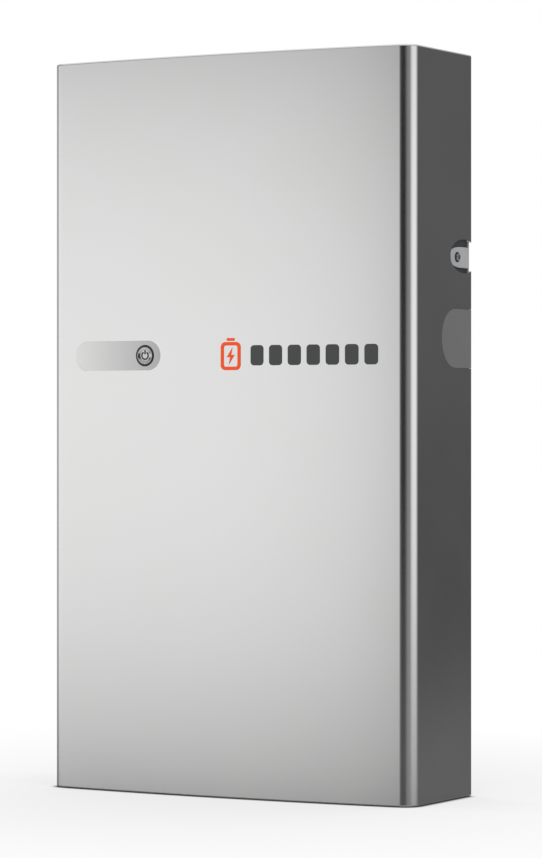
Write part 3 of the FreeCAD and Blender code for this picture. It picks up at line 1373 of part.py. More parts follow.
def make_deadfront_panel():
    """Front plate of the wiring bay, with windows for the levers, the breaker and the board's plugs."""
    plate = rounded("panel_plate", box("panel_box", ("-bay_half", "bay_half"), ("panel_front", "bay_front"),
                                       ("bay_bottom", "bay_top")), "y", "6")
    windows = {
        "levers": (("block_left - 3", "block_left + 3 * pole_pitch + 5"),
                   ("rail_level - block_height / 2 - 3", "rail_level + block_height / 2 + 3")),
        "breaker": (("breaker_x - breaker_width / 2 - 2", "breaker_x + breaker_width / 2 + 2"),
                    ("rail_level - 24", "rail_level + 24")),
        "plugs": (("-212", "-158"), ("572", "640")),
    }
    openings = []
    for name, (wide, tall) in windows.items():
        block = box(f"panel_{name}_box", wide, ("panel_front - 4", "bay_front + 4"), tall)
        openings.append(rounded(f"panel_{name}_window", block, "y", "3"))
    stem = rod("panel_switch_hole", "y", ("button_x", "panel_front - 4", "recess_level"), "4", "12")
    screws = [rod(f"panel_screw_hole_{i}", "y", (x, "panel_front - 4", z), "2", "12")
              for i, (x, z) in enumerate(panel_screw_places())]
    return node("deadfront_panel", cut("panel", plate, *openings, stem, *screws))


def make_deadfront_screws():
    pieces = []
    for i, (x, z) in enumerate(panel_screw_places()):
        head = rod(f"panel_head_{i}", "y", (x, "panel_front - 2.6", z), "3.8", "2.6")
        shank = rod(f"panel_shank_{i}", "y", (x, "panel_front", z), "2", "12")
        cross = box(f"panel_cross_{i}", (f"{x} - 2.4", f"{x} + 2.4"),
                    ("panel_front - 4", "panel_front - 1.4"), (f"{z} - 0.5", f"{z} + 0.5"))
        pieces.append(cut(f"panel_screw_{i}", fuse(f"panel_screw_body_{i}", head, shank), cross))
    return node("deadfront_screws", group("panel_screw_set", *pieces))


def make_din_rail():
    """Top-hat rail for the terminal block and the breaker."""
    tall = ("rail_level - 17.5", "rail_level + 17.5")
    face = box("rail_face", ("-70", "210"), ("rail_front", "rail_front + 1"), tall)
    web = box("rail_web", ("-70", "210"), ("rail_front", "rail_front + 7.5"),
              ("rail_level - 13.5", "rail_level + 13.5"))
    hollow = box("rail_hollow", ("-71", "211"), ("rail_front - 1", "rail_front + 6.5"),
                 ("rail_level - 12.5", "rail_level + 12.5"))
    return node("din_rail", cut("rail", fuse("rail_body", face, web), hollow))


def pole_left(i):
    return f"block_left + {i} * pole_pitch"


def make_ac_terminal_block():
    """Three-pole lever block: cheeks between the levers and a wire port under each."""
    low, high = "rail_level - block_height / 2", "rail_level + block_height / 2"
    right = "block_left + 3 * pole_pitch + 2"
    core = box("block_core", ("block_left", right), ("block_front", "rail_front"), (low, high))
    cheek_front = "block_front - 9"
    cheeks = [box(f"block_cheek_{i}", (pole_left(i), f"{pole_left(i)} + 2"), (cheek_front, "block_front"),
                  ("rail_level - 6", high)) for i in range(4)]
    ports = []
    for i in range(3):
        port = box(f"block_port_box_{i}", (f"{pole_left(i)} + 8", f"{pole_left(i)} + 24"),
                   (cheek_front, "block_front + 20"), (f"{low} + 3", f"{low} + 17"))
        ports.append(rounded(f"block_port_{i}", port, "y", "6.5"))
    channel = rod("block_channel", "x", ("block_left - 1", "lever_axis_y", "lever_axis_z"),
                  "lever_pin + 0.05", "3 * pole_pitch + 4")
    return node("ac_terminal_block", cut("block", fuse("block_body", core, *cheeks), *ports, channel))


def make_lever(name, i):
    """Wire-clamp lever: a hub on a pin through the cheeks and a paddle lying down the block's front."""
    left = f"{pole_left(i)} + 2.3"
    right = f"{pole_left(i)} + pole_pitch - 0.3"
    hub = rod(name + "_hub", "x", (left, "lever_axis_y", "lever_axis_z"), "4.2", f"({right}) - ({left})")
    pins = rod(name + "_pin", "x", (f"{left} - 1.2", "lever_axis_y", "lever_axis_z"), "lever_pin",
               f"({right}) - ({left}) + 2.4")
    paddle = rounded(name + "_paddle", box(
        name + "_paddle_box", (left, right), ("lever_axis_y - 3", "lever_axis_y + 1"),
        ("lever_axis_z - lever_length", "lever_axis_z")), "y", "3")
    grip = rounded(name + "_grip", box(
        name + "_grip_box", (f"{left} + 3", f"{right} - 3"), ("lever_axis_y - 4.2", "lever_axis_y"),
        ("lever_axis_z - lever_length + 2", "lever_axis_z - lever_length + 9")), "x", "0.8")
    return node(name, fuse(name + "_whole", hub, pins, paddle, grip))


def make_dc_breaker():
    """Two-pole breaker with a stepped front; the nose is slotted for the toggle."""
    wide = ("breaker_x - breaker_width / 2", "breaker_x + breaker_width / 2")
    base = box("breaker_base", wide, ("breaker_front", "rail_front"), ("rail_level - 40", "rail_level + 40"))
    nose = box("breaker_nose_box", wide, ("breaker_nose", "breaker_front"),
               ("rail_level - 22", "rail_level + 22"))
    slot = box("breaker_slot", ("breaker_x - 9", "breaker_x + 9"), ("breaker_nose - 1", "toggle_y + 11"),
               ("rail_level - 13", "rail_level + 13"))
    pin = rod("breaker_pin_hole", "x", ("breaker_x - 14", "toggle_y", "rail_level"), "2.05", "28")
    ports, clamps = [], []
    for i, x in enumerate(gland_places()):
        ports.append(rod(f"breaker_port_{i}", "z", (x, "0", "rail_level - 41"), "5", "12"))
        for j, side in enumerate((-1, 1)):
            level = f"rail_level + {side} * 31"
            clamps.append(rod(f"breaker_clamp_{i}_{j}", "y", (x, "breaker_front - 1", level), "3.2", "4"))
    return node("dc_breaker", cut("breaker", fuse("breaker_body", base, nose), slot, pin, *ports, *clamps))


def make_breaker_toggle():
    """Toggle leaning up in its on position, on a pin across the breaker's nose."""
    drum = rod("toggle_drum", "x", ("breaker_x - 8.8", "toggle_y", "rail_level"), "toggle_radius", "17.6")
    pin = rod("toggle_pin", "x", ("breaker_x - 13", "toggle_y", "rail_level"), "2", "26")
    stick = rounded("toggle_stick", box("toggle_stick_box", ("breaker_x - 7", "breaker_x + 7"), ("-22", "0"),
                                        ("-2.5", "2.5")), "x", "1.8")
    lean = DOC.addObject("Part::Compound", "toggle_lean")
    lean.Links = [stick]
    lean.Placement = FreeCAD.Placement(FreeCAD.Vector(), FreeCAD.Rotation(FreeCAD.Vector(1, 0, 0), -30))
    bind(lean, Placement_Base_y="toggle_y", Placement_Base_z="rail_level")
    return node("breaker_toggle", fuse("toggle", drum, pin, lean))


def make_control_board():
    """Controller board with its connectors towards the panel's left window."""
    face, back = "6.4", "8"
    plate = rounded("board_plate", box("board_box", ("-212", "-80"), (face, back), ("556", "656")), "y", "3")
    blocks = [box(f"board_block_{i}", ("-205", "-168"), (f"{face} - 20.4", face), (f"{z}", f"{z + 15}"))
              for i, z in enumerate((578, 598, 618))]
    chips = [chip(f"board_chip_{i}", x, z, width, face, height)
             for i, (x, z, width, height) in enumerate(
                 ((-150, 612, 22, 2), (-120, 620, 16, 2), (-148, 574, 18, 10), (-118, 580, 12, 6)))]
    coils = [rod(f"board_coil_{i}", "y", (x, f"{face} - 14.4", "640"), "6.5", "14.4")
             for i, x in enumerate(("-140", "-122"))]
    holes = [rod(f"board_hole_{i}", "y", (x, "0", z), "1.6", "12")
             for i, (x, z) in enumerate(board_screw_places())]
    return node("control_board", cut("board", fuse("board_body", plate, *blocks, *chips, *coils), *holes))


def make_ground_bar():
    """Brass bar with a wire hole and a clamp screw's thread at each place."""
    bar = box("ground_box", ("96", "206"), ("ground_front", "ground_front + 8"),
              ("ground_level - 5", "ground_level + 5"))
    holes = []
    for i, x in enumerate(ground_places()):
        wire = rod(f"ground_hole_{i}", "z", (x, "ground_front + 4", "ground_level - 16"), "2.5", "32")
        tap = rod(f"ground_tap_{i}", "y", (x, "ground_front - 6", "ground_level"), "2", "10")
        holes += [wire, tap]
    return node("ground_bar", cut("ground", bar, *holes))


def ground_places():
    return [f"108 + {i} * 17" for i in range(6)]


def make_ground_screws():
    pieces = []
    for i, x in enumerate(ground_places()):
        head = rod(f"ground_head_{i}", "y", (x, "ground_front - 3", "ground_level"), "3.6", "3")
        shank = rod(f"ground_shank_{i}", "y", (x, "ground_front", "ground_level"), "2", "4")
        slit = box(f"ground_slit_{i}", (f"{x} - 4", f"{x} + 4"), ("ground_front - 4", "ground_front - 1.6"),
                   ("ground_level - 0.5", "ground_level + 0.5"))
        pieces.append(cut(f"ground_screw_{i}", fuse(f"ground_screw_body_{i}", head, shank), slit))
    return node("ground_screws", group("ground_screw_set", *pieces))


def make_conduit_hubs():
    """Threaded sleeves that line up the tray's side holes with the wiring box."""
    def hub(side):
        near, far = "bay_half - bay_wall - 5", "chassis_half + 0.4"
        start = near if side > 0 else f"-({far})"
        sleeve = rod(f"hub_sleeve_{side + 1}", "x", (start, "hub_y", "plug_level"), "hub_radius",
                     f"({far}) - ({near})")
        ring_start = "bay_half" if side > 0 else "-bay_half - 5"
        ring = rod(f"hub_ring_{side + 1}", "x", (ring_start, "hub_y", "plug_level"), "hub_radius + 5", "5")
        bore = rod(f"hub_bore_{side + 1}", "x", (f"{start} - 5", "hub_y", "plug_level"), "hub_radius - 4",
                   f"({far}) - ({near}) + 10")
        return cut(f"hub_{side + 1}", fuse(f"hub_body_{side + 1}", sleeve, ring), bore)
    return node("conduit_hubs", both_sides("hub_pair", hub))


# ---------------------------------------------------------------- whole unit

def build():
    make_front_cover()
    make_grille("bottom_grille", "skin", "skin + grille_sheet")
    make_grille("top_grille", "unit_height - skin - grille_sheet", "unit_height - skin")
    make_side_plug("side_plug_right", 1)
    make_side_plug("side_plug_left", -1)
    make_badge_icon()
    make_badge_bars()
    make_cover_sockets()
    make_power_button()
    make_power_symbol()
    make_button_collar()
    make_status_light_ring()
    make_switch_body()
    make_button_spring()
    make_chassis_tray()
    make_cover_pins()
    make_chassis_hooks()
    make_wall_bracket()
    make_ear_screws()
    make_wall_bumpers()
    make_battery_tub()
    make_battery_gasket()
    make_battery_lid()
    make_lid_screws()
    make_pressure_vent()
    make_cells("cells_left", -1)
    make_cells("cells_right", 1)
    make_cell_pads()
    make_end_plates()
    make_compression_bands()
    make_busbars()
    make_busbar_carrier()
    make_bms_board()
    make_dc_glands()
    make_pack_cables()
    for number, (side, row) in enumerate(inverter_places(), start=1):
        make_microinverter(number, side, row)
    make_inverter_rails()
    make_inverter_screws()
    make_inverter_plugs()
    make_ac_trunk_cable()
    make_dc_harness()
    make_wiring_box()
    make_deadfront_panel()
    make_deadfront_screws()
    make_din_rail()
    make_ac_terminal_block()
    make_lever("lever_line_one", 0)
    make_lever("lever_line_two", 1)
    make_lever("lever_neutral", 2)
    make_dc_breaker()
    make_breaker_toggle()
    make_control_board()
    make_ground_bar()
    make_ground_screws()
    make_conduit_hubs()


def check():
    """Stop before writing anything if any object failed."""
    failed = [f"{thing.Name}: {thing.getStatusString()}" for thing in DOC.Objects
              if "Invalid" in thing.State or "Error" in thing.State]
    for part in NODES:
        if part.Shape.isNull() or not part.Shape.isValid() or not part.Shape.Solids:
            failed.append(f"{part.Label}: no valid shape")
    if failed:
        raise RuntimeError("\n".join(failed))


build()
DOC.recompute()
check()
os.makedirs("parts", exist_ok=True)
for part in NODES:
    part.Shape.exportStep(f"parts/{part.Label}.step")
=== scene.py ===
import json
import math

import bmesh
import bpy
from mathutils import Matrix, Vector


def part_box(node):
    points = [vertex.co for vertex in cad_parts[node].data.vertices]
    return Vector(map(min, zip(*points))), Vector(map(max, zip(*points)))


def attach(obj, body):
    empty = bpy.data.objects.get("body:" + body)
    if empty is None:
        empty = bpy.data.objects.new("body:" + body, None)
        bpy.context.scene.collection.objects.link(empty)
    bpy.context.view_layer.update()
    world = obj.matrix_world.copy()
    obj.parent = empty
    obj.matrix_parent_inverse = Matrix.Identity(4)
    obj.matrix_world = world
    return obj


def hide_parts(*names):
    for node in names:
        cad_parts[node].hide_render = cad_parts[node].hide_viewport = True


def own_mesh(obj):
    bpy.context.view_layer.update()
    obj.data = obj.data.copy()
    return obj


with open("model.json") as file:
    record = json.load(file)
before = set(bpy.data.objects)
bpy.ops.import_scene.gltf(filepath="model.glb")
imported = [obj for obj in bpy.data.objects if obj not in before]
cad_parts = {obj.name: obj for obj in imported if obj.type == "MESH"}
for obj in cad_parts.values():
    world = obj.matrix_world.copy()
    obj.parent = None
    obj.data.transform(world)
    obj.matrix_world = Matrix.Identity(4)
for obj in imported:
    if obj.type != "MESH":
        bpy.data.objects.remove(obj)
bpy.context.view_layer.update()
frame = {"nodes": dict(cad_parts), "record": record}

NODES = frame["nodes"]
MM = 0.001

# ---------------------------------------------------------------- sizes

# The cover's box and the button's level come from the frame.  The rest repeats the CAD's own sizes, except
# where a comment says otherwise.
COVER_LOW, COVER_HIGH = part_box("front_cover")
HALF = COVER_HIGH.x
FRONT = COVER_LOW.y
REAR = COVER_HIGH.y
TOP = COVER_HIGH.z
SKIN = 2.5 * MM
CORNER = 20.5 * MM
CORNER_X = HALF - CORNER
CROWN_RISE = 12 * MM
EDGE_ROUND = 2.4 * MM
CAP_FLANGE = 18 * MM
CROWN = (CORNER_X ** 2 + CROWN_RISE ** 2) / (2 * CROWN_RISE)
CROWN_Y = FRONT + CROWN

RECESS_LEFT = -233.7 * MM
RECESS_LENGTH = 138.6 * MM
RECESS_HEIGHT = 39.5 * MM
RECESS_LEVEL = sum((corner.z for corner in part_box("power_button")), 0.0) / 2
RECESS_TILT = math.radians(1.2)
BACKING_REACH = 9 * MM     # of the recess's backing in front of its floor, before it is trimmed
CUT_REACH = 20 * MM        # of the recess's cutter in front of the floor, clear of the bowed skin
CLEARANCE = 5 * MM         # by which the other cutters pass the skin
HOLE_DEPTH = 15 * MM

NOTCH_MIDDLE, NOTCH_LEVEL = 69 * MM, 713 * MM
NOTCH_REACH, NOTCH_RISE = 40.6 * MM, 22.2 * MM
PLUG_START, PLUG_LEVEL = 42.9 * MM, 604.4 * MM
PLUG_RADIUS = 39.1 * MM    # 0.3 less than the CAD's slot, for a finer line round the plug
PLUG_END = 140 * MM        # past the cover's rear, so that the slot is open towards the wall

COLLAR_RADIUS = 14 * MM
COLLAR_GAP = 0.35 * MM
SLIDE_GAP = 0.06 * MM
STEM_RADIUS = 3 * MM
CAP_THICKNESS = 4.9 * MM
DISH_FLAT = 7.0 * MM       # radius of the dish's flat middle, less than the CAD's
DISH_DEPTH = 1.2 * MM
EAR_FACE = 271.7 * MM


# ---------------------------------------------------------------- material graphs

class Graph:
    """Short way to add and link shader nodes."""

    def __init__(self, tree):
        self.tree = tree
        tree.nodes.clear()

    def add(self, kind, inputs=None, **settings):
        node = self.tree.nodes.new("ShaderNode" + kind)
        for name, value in settings.items():
            setattr(node, name, value)
        for name, value in (inputs or {}).items():
            if isinstance(value, bpy.types.NodeSocket):
                self.tree.links.new(value, node.inputs[name])
            else:
                node.inputs[name].default_value = value
        return node

    def math(self, operation, a, b=0.0, clamp=False):
        return self.add("Math", {0: a, 1: b}, operation=operation, use_clamp=clamp).outputs[0]

    def mix(self, factor, a, b):
        """Blend colour a into colour b as factor runs from 0 to 1."""
        node = self.add("Mix", data_type="RGBA")
        for socket, value in ((node.inputs[0], factor), (node.inputs[6], a), (node.inputs[7], b)):
            if isinstance(value, bpy.types.NodeSocket):
                self.tree.links.new(value, socket)
            else:
                socket.default_value = value
        return node.outputs[2]

    def blend(self, factor, a, b):
        """Blend number a into number b as factor runs from 0 to 1."""
        return self.add("Mix", {0: factor, 2: a, 3: b}, data_type="FLOAT").outputs[0]

    def span(self, value, low, high, out_low=0.0, out_high=1.0, easing="LINEAR"):
        """Map value from low..high to out_low..out_high, clamped."""
        limits = {"Value": value, "From Min": low, "From Max": high, "To Min": out_low, "To Max": out_high}
        return self.add("MapRange", limits, interpolation_type=easing).outputs["Result"]

    def soft_span(self, value, low, high, out_low=0.0, out_high=1.0):
        """Map value as span does, easing in and out."""
        return self.span(value, low, high, out_low, out_high, "SMOOTHSTEP")

    def noise(self, place, scale, detail, roughness=0.5):
        inputs = {"Vector": place, "Scale": scale, "Detail": detail, "Roughness": roughness}
        return self.add("TexNoise", inputs).outputs["Fac"]


# Most of a noise texture's values lie between these, for broad clouds and for fine grain.
CLOUD = (0.3, 0.7)
GRAIN = (0.35, 0.65)


def new_material(name):
    material = bpy.data.materials.new(name)
    material.use_nodes = True
    return material, Graph(material.node_tree)


def linear(grey):
    """sRGB level 0..255 to linear light."""
    level = grey / 255
    return level / 12.92 if level <= 0.04045 else ((level + 0.055) / 1.055) ** 2.4


def tint(red, green, blue):
    """Colour from sRGB levels 0..255."""
    return (linear(red), linear(green), linear(blue), 1.0)


def shade(colour, factor):
    """The colour, lighter or darker by a factor."""
    return tuple(min(1.0, c * factor) for c in colour[:3]) + (1.0,)


def surface(name, colour, rough, metal=0.0, blotch=0.06, blotch_size=60 * MM, grain=0.0,
            grain_size=0.6 * MM, brushed=None, wear=0.0, wear_colour=None, rounding=0.4 * MM, dust=0.0,
            coat=0.0, sheen=0.0, sub=0.0):
    """A finish with uneven colour and roughness, a fine texture, soft edges and worn corners."""
    material, graph = new_material(name)
    place = graph.add("TexCoord").outputs["Object"]
    cloud = graph.noise(place, 1 / blotch_size, 4.0, 0.55)
    base = graph.mix(graph.span(cloud, *CLOUD), shade(colour, 1 - blotch), shade(colour, 1 + blotch))
    roughness = graph.span(cloud, *CLOUD, max(0.02, rough - 0.04), min(1.0, rough + 0.04))
    if brushed:
        stretched = graph.add("Mapping", {"Vector": place, "Scale": brushed}).outputs["Vector"]
        texture = graph.noise(stretched, 1.0, 3.0, 0.6)
    else:
        texture = graph.noise(place, 1 / grain_size, 2.0)
    base = graph.mix(graph.span(texture, *GRAIN, 0.0, 0.5), base, shade(colour, 0.9))
    edge = graph.add("Bevel", {"Radius": rounding}, samples=4).outputs["Normal"]
    normal = graph.add("Bump", {"Strength": grain, "Distance": 0.2 * MM, "Height": texture,
                                "Normal": edge}).outputs["Normal"]
    if wear:
        flat = graph.add("NewGeometry").outputs["Normal"]
        turned = graph.add("VectorMath", {0: edge, 1: flat}, operation="DOT_PRODUCT").outputs["Value"]
        rim = graph.span(turned, 0.98, 0.8)
        worn = graph.math("MULTIPLY", rim, graph.span(cloud, 0.35, 0.6, 0.0, wear))
        base = graph.mix(worn, base, wear_colour or shade(colour, 1.6))
    if dust:
        upward = graph.add("SeparateXYZ", {0: graph.add("NewGeometry").outputs["Normal"]}).outputs["Z"]
        settled = graph.math("MULTIPLY", graph.span(upward, 0.4, 1.0), graph.span(cloud, *CLOUD, 0.0, dust))
        base = graph.mix(settled, base, tint(150, 146, 138))
        roughness = graph.math("ADD", roughness, graph.math("MULTIPLY", settled, 0.3), clamp=True)
    shader = graph.add("BsdfPrincipled", {
        "Base Color": base, "Roughness": roughness, "Metallic": metal, "Normal": normal, "Coat Weight": coat,
        "Coat Roughness": 0.15, "Sheen Weight": sheen, "Subsurface Weight": sub, "Subsurface Scale": 2 * MM})
    graph.add("OutputMaterial", {"Surface": shader.outputs[0]})
    return material


# ---------------------------------------------------------------- finishes

def satin_cover(name, painted_shade_span=None):
    """Bead-blasted, anodised sheet; the optional pair of x values gives the span over which it turns to a
    darker grey, painted shade for the depth of the recess.
    """
    material, graph = new_material(name)
    place = graph.add("TexCoord").outputs["Object"]
    cloud = graph.noise(place, 7.0, 3.0)
    speck = graph.noise(place, 1400.0, 2.0, 0.6)
    base = graph.mix(graph.span(cloud, *CLOUD), tint(246, 246, 246), tint(250, 250, 249))
    base = graph.mix(graph.span(speck, *GRAIN, 0.0, 0.25), base, tint(238, 239, 239))
    if painted_shade_span:
        across = graph.add("SeparateXYZ", {0: place}).outputs["X"]
        # painted shade: the recess floor darkens to grey towards the button, where the recess is deepest
        base = graph.mix(graph.span(across, *painted_shade_span, 0.12, 1.0), base, tint(188, 188, 188))
    bump = graph.add("Bump", {"Strength": 0.04, "Distance": 0.05 * MM, "Height": speck}).outputs["Normal"]
    rough = graph.span(cloud, *CLOUD, 0.17, 0.19)
    shader = graph.add("BsdfPrincipled", {"Base Color": base, "Metallic": 1.0, "Roughness": rough,
                                          "Normal": bump})
    graph.add("OutputMaterial", {"Surface": shader.outputs[0]})
    return material


def recipe(*values, **settings):
    """What surface needs for one slot, apart from the slot's name."""
    return values, settings


def make_finishes():
    """One finish for each of the record's material slots, apart from the cover's own."""
    steel = tint(190, 192, 194)
    recipes = {
        "grille_paint": recipe(tint(150, 151, 152), 0.5, 0.6, grain=0.25, wear=0.5, dust=0.3),
        "plug_plastic": recipe(tint(112, 112, 112), 0.55, grain=0.3, grain_size=0.5 * MM,
                               rounding=0.8 * MM),
        "badge_orange": recipe(tint(255, 84, 14), 0.4, blotch=0.03, grain=0.05),
        "badge_grey": recipe(tint(70, 71, 72), 0.42, blotch=0.05, grain=0.05),
        "socket_plastic": recipe(tint(52, 53, 55), 0.55, grain=0.2),
        "cap_metal": recipe(tint(228, 228, 228), 0.2, 1.0, blotch=0.03, grain=0.03),
        "symbol_dark": recipe(tint(44, 45, 46), 0.6, grain=0.05),
        "collar_plastic": recipe(tint(34, 35, 36), 0.32, grain=0.08, wear=0.3),
        "light_ring": recipe(tint(48, 50, 52), 0.18, coat=0.4, grain=0.02),
        "switch_plastic": recipe(tint(44, 45, 48), 0.5, grain=0.2),
        "spring_steel": recipe(tint(205, 206, 208), 0.25, 1.0, grain=0.1),
        "chassis_paint": recipe(tint(66, 68, 70), 0.48, 0.2, grain=0.35, grain_size=0.9 * MM, wear=0.7,
                                wear_colour=tint(150, 150, 150), dust=0.3),
        "pin_steel": recipe(steel, 0.3, 1.0, grain=0.1, brushed=(50, 3000, 50)),
        "hook_steel": recipe(steel, 0.38, 1.0, blotch=0.12, blotch_size=0.02, grain=0.12),
        "bracket_steel": recipe(tint(196, 197, 198), 0.5, 0.35, blotch=0.06, blotch_size=0.03, grain=0.1,
                                wear=0.3),
        "screw_steel": recipe(tint(176, 178, 181), 0.28, 1.0, grain=0.08, wear=0.4),
        "bumper_rubber": recipe(tint(38, 38, 39), 0.75, grain=0.5, wear=0.3, dust=0.5),
        "tub_cast": recipe(tint(176, 178, 180), 0.46, 0.9, blotch=0.1, grain=0.6, grain_size=1.2 * MM,
                           wear=0.4),
        "lid_paint": recipe(tint(128, 131, 133), 0.44, 0.3, grain=0.35, grain_size=0.9 * MM, wear=0.6,
                            wear_colour=tint(196, 196, 196), rounding=0.9 * MM),
        "gasket_rubber": recipe(tint(40, 40, 41), 0.8, grain=0.5),
        "vent_plastic": recipe(tint(46, 47, 49), 0.5, grain=0.25, wear=0.3),
        "cell_film": recipe(tint(38, 96, 176), 0.3, blotch=0.1, grain=0.08, coat=0.3, wear=0.4,
                            wear_colour=tint(190, 200, 215)),
        "pad_foam": recipe(tint(214, 208, 190), 0.9, grain=0.6, grain_size=0.8 * MM),
        "end_plate_metal": recipe(tint(200, 202, 204), 0.35, 1.0, grain=0.15, brushed=(2400, 60, 60),
                                  wear=0.3),
        "band_steel": recipe(steel, 0.3, 1.0, grain=0.1, brushed=(2400, 60, 60)),
        "busbar_copper": recipe(tint(222, 142, 96), 0.3, 1.0, blotch=0.14, blotch_size=0.02, grain=0.1,
                                wear=0.4),
        "carrier_plastic": recipe(tint(222, 222, 218), 0.5, grain=0.2, sub=0.05),
        "board_laminate": recipe(tint(24, 104, 62), 0.35, blotch=0.12, blotch_size=0.008, grain=0.2,
                                 coat=0.5),
        "gland_plastic": recipe(tint(42, 42, 44), 0.5, grain=0.2, wear=0.3),
        "lead_orange": recipe(tint(238, 118, 26), 0.5, grain=0.2),
        "inverter_shell": recipe(tint(58, 60, 63), 0.4, blotch=0.1, grain=0.4, grain_size=0.8 * MM,
                                 wear=0.5, rounding=0.6 * MM),
        "rail_zinc": recipe(tint(196, 199, 202), 0.34, 1.0, blotch=0.14, blotch_size=0.015, grain=0.12,
                            wear=0.3),
        "plug_black": recipe(tint(40, 41, 43), 0.48, grain=0.2, wear=0.2),
        "cable_black": recipe(tint(36, 36, 38), 0.55, grain=0.3, sheen=0.2),
        "bay_plastic": recipe(tint(96, 99, 102), 0.52, grain=0.3, wear=0.3),
        "panel_paint": recipe(tint(188, 190, 192), 0.42, 0.1, grain=0.3, grain_size=0.9 * MM, wear=0.5,
                              wear_colour=tint(225, 225, 225)),
        "block_grey": recipe(tint(122, 125, 128), 0.5, grain=0.2, wear=0.2),
        "lever_orange": recipe(tint(244, 122, 22), 0.36, grain=0.1, wear=0.3, rounding=0.6 * MM, sub=0.05),
        "breaker_plastic": recipe(tint(218, 219, 217), 0.45, grain=0.15, wear=0.2, sub=0.05),
        "toggle_black": recipe(tint(36, 37, 39), 0.35, grain=0.1, wear=0.3, rounding=0.6 * MM),
        "ground_brass": recipe(tint(214, 178, 100), 0.28, 1.0, blotch=0.12, blotch_size=0.01, grain=0.1,
                               wear=0.4),
        "hub_cast": recipe(tint(186, 188, 190), 0.42, 1.0, blotch=0.1, grain=0.5, grain_size=1.0 * MM,
                           wear=0.3),
    }
    return {slot: surface(slot, *values, **settings) for slot, (values, settings) in recipes.items()}


FINISHES = make_finishes()
FINISHES["cover_metal"] = satin_cover("cover_metal")
SLOT_OF = {part["node"]: part["material_slot"] for part in frame["record"]["subparts"]}


# ---------------------------------------------------------------- mesh helpers

def new_object(name, mesh, body, node):
    """Show a mesh on a body in place of a CAD node, with that node's slot and finish."""
    thing = bpy.data.objects.new(name, mesh)
    bpy.context.scene.collection.objects.link(thing)
    mesh.materials.clear()
    mesh.materials.append(FINISHES[SLOT_OF[node]])
    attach(thing, body)
    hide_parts(node)
    return thing


def mesh_from(name, bm):
    """Turn a bmesh into a mesh whose faces all look outwards."""
    mesh = bpy.data.meshes.new(name)
    bmesh.ops.recalc_face_normals(bm, faces=bm.faces)
    bm.to_mesh(mesh)
    bm.free()
    return mesh


def smooth_by_angle(mesh, degrees):
    """Smooth shading with hard edges where faces meet at more than the angle."""
    mesh.polygons.foreach_set("use_smooth", [True] * len(mesh.polygons))
    mesh.set_sharp_from_angle(angle=math.radians(degrees))


def boolean(target, tool, operation):
    """The mesh that one exact boolean of two meshes gives."""
    first = bpy.data.objects.new("target", target)
    second = bpy.data.objects.new("tool", tool)
    for thing in (first, second):
        bpy.context.scene.collection.objects.link(thing)
    modifier = first.modifiers.new("cut", "BOOLEAN")
    modifier.operation = operation
    modifier.solver = "EXACT"
    modifier.object = second
    graph = bpy.context.evaluated_depsgraph_get()
    result = bpy.data.meshes.new_from_object(first.evaluated_get(graph))
    for thing in (first, second):
        bpy.data.objects.remove(thing)
    return result


def on_axis(axis, centre, u, v, along):
    """Point at u, v across an axis through centre and at a place along it."""
    if axis == "X":
        return Vector((along, centre[1] + u, centre[2] + v))
    return Vector((centre[0] + u, along, centre[2] + v))


def lathe(name, profile, centre, axis="Y", segments=72, closed=True, sharp=32):
    """A solid turned about an axis; profile is a list of (radius, place along the axis)."""
    bm = bmesh.new()
    rings = []
    for radius, along in profile:
        ring = []
        for i in range(segments if radius > 0 else 1):
            turn = 2 * math.pi * i / segments
            place = on_axis(axis, centre, radius * math.cos(turn), radius * math.sin(turn), along)
            ring.append(bm.verts.new(place))
        rings.append(ring)
    following = rings[1:] + ([rings[0]] if closed else [])
    for first, second in zip(rings, following):
        for i in range(segments):
            j = (i + 1) % segments
            corners = (first[i % len(first)], first[j % len(first)],
                       second[j % len(second)], second[i % len(second)])
            unique = list(dict.fromkeys(corners))
            if len(unique) > 2:
                bm.faces.new(unique)
    mesh = mesh_from(name, bm)
    smooth_by_angle(mesh, sharp)
    return mesh


def pill(start, end, level, radius, steps=24):
    """Outline of a pill in a plane, anticlockwise, its ends centred at start and end."""
    points = []
    for centre, first in ((end, -90), (start, 90)):
        for i in range(steps + 1):
            turn = math.radians(first + 180 * i / steps)
            points.append((centre + radius * math.cos(turn), level + radius * math.sin(turn)))
    return points


def oval(middle, level, reach, rise, steps=96, shift=0.5):
    """Outline of an ellipse in a plane, anticlockwise; shift turns its points by that part of a step."""
    turns = [2 * math.pi * (i + shift) / steps for i in range(steps)]
    return [(middle + reach * math.cos(turn), level + rise * math.sin(turn)) for turn in turns]


def prism(name, outline, place, near, far):
    """A prism of an outline; place turns (u, v, w) into a point."""
    bm = bmesh.new()
    low = [bm.verts.new(place(u, v, near)) for u, v in outline]
    high = [bm.verts.new(place(u, v, far)) for u, v in outline]
    bm.faces.new(low)
    bm.faces.new(high[::-1])
    count = len(outline)
    for i in range(count):
        j = (i + 1) % count
        bm.faces.new((low[j], low[i], high[i], high[j]))
    return mesh_from(name, bm)


# ---------------------------------------------------------------- front cover

def corner_start(inset):
    """Centre height of the corner arc and the angle where the bowed front meets it."""
    corner = CORNER - inset
    crown = CROWN - inset
    along = CROWN_Y - math.sqrt((crown - corner) ** 2 - CORNER_X ** 2)
    return along, math.atan2(CORNER_X, CROWN_Y - along)


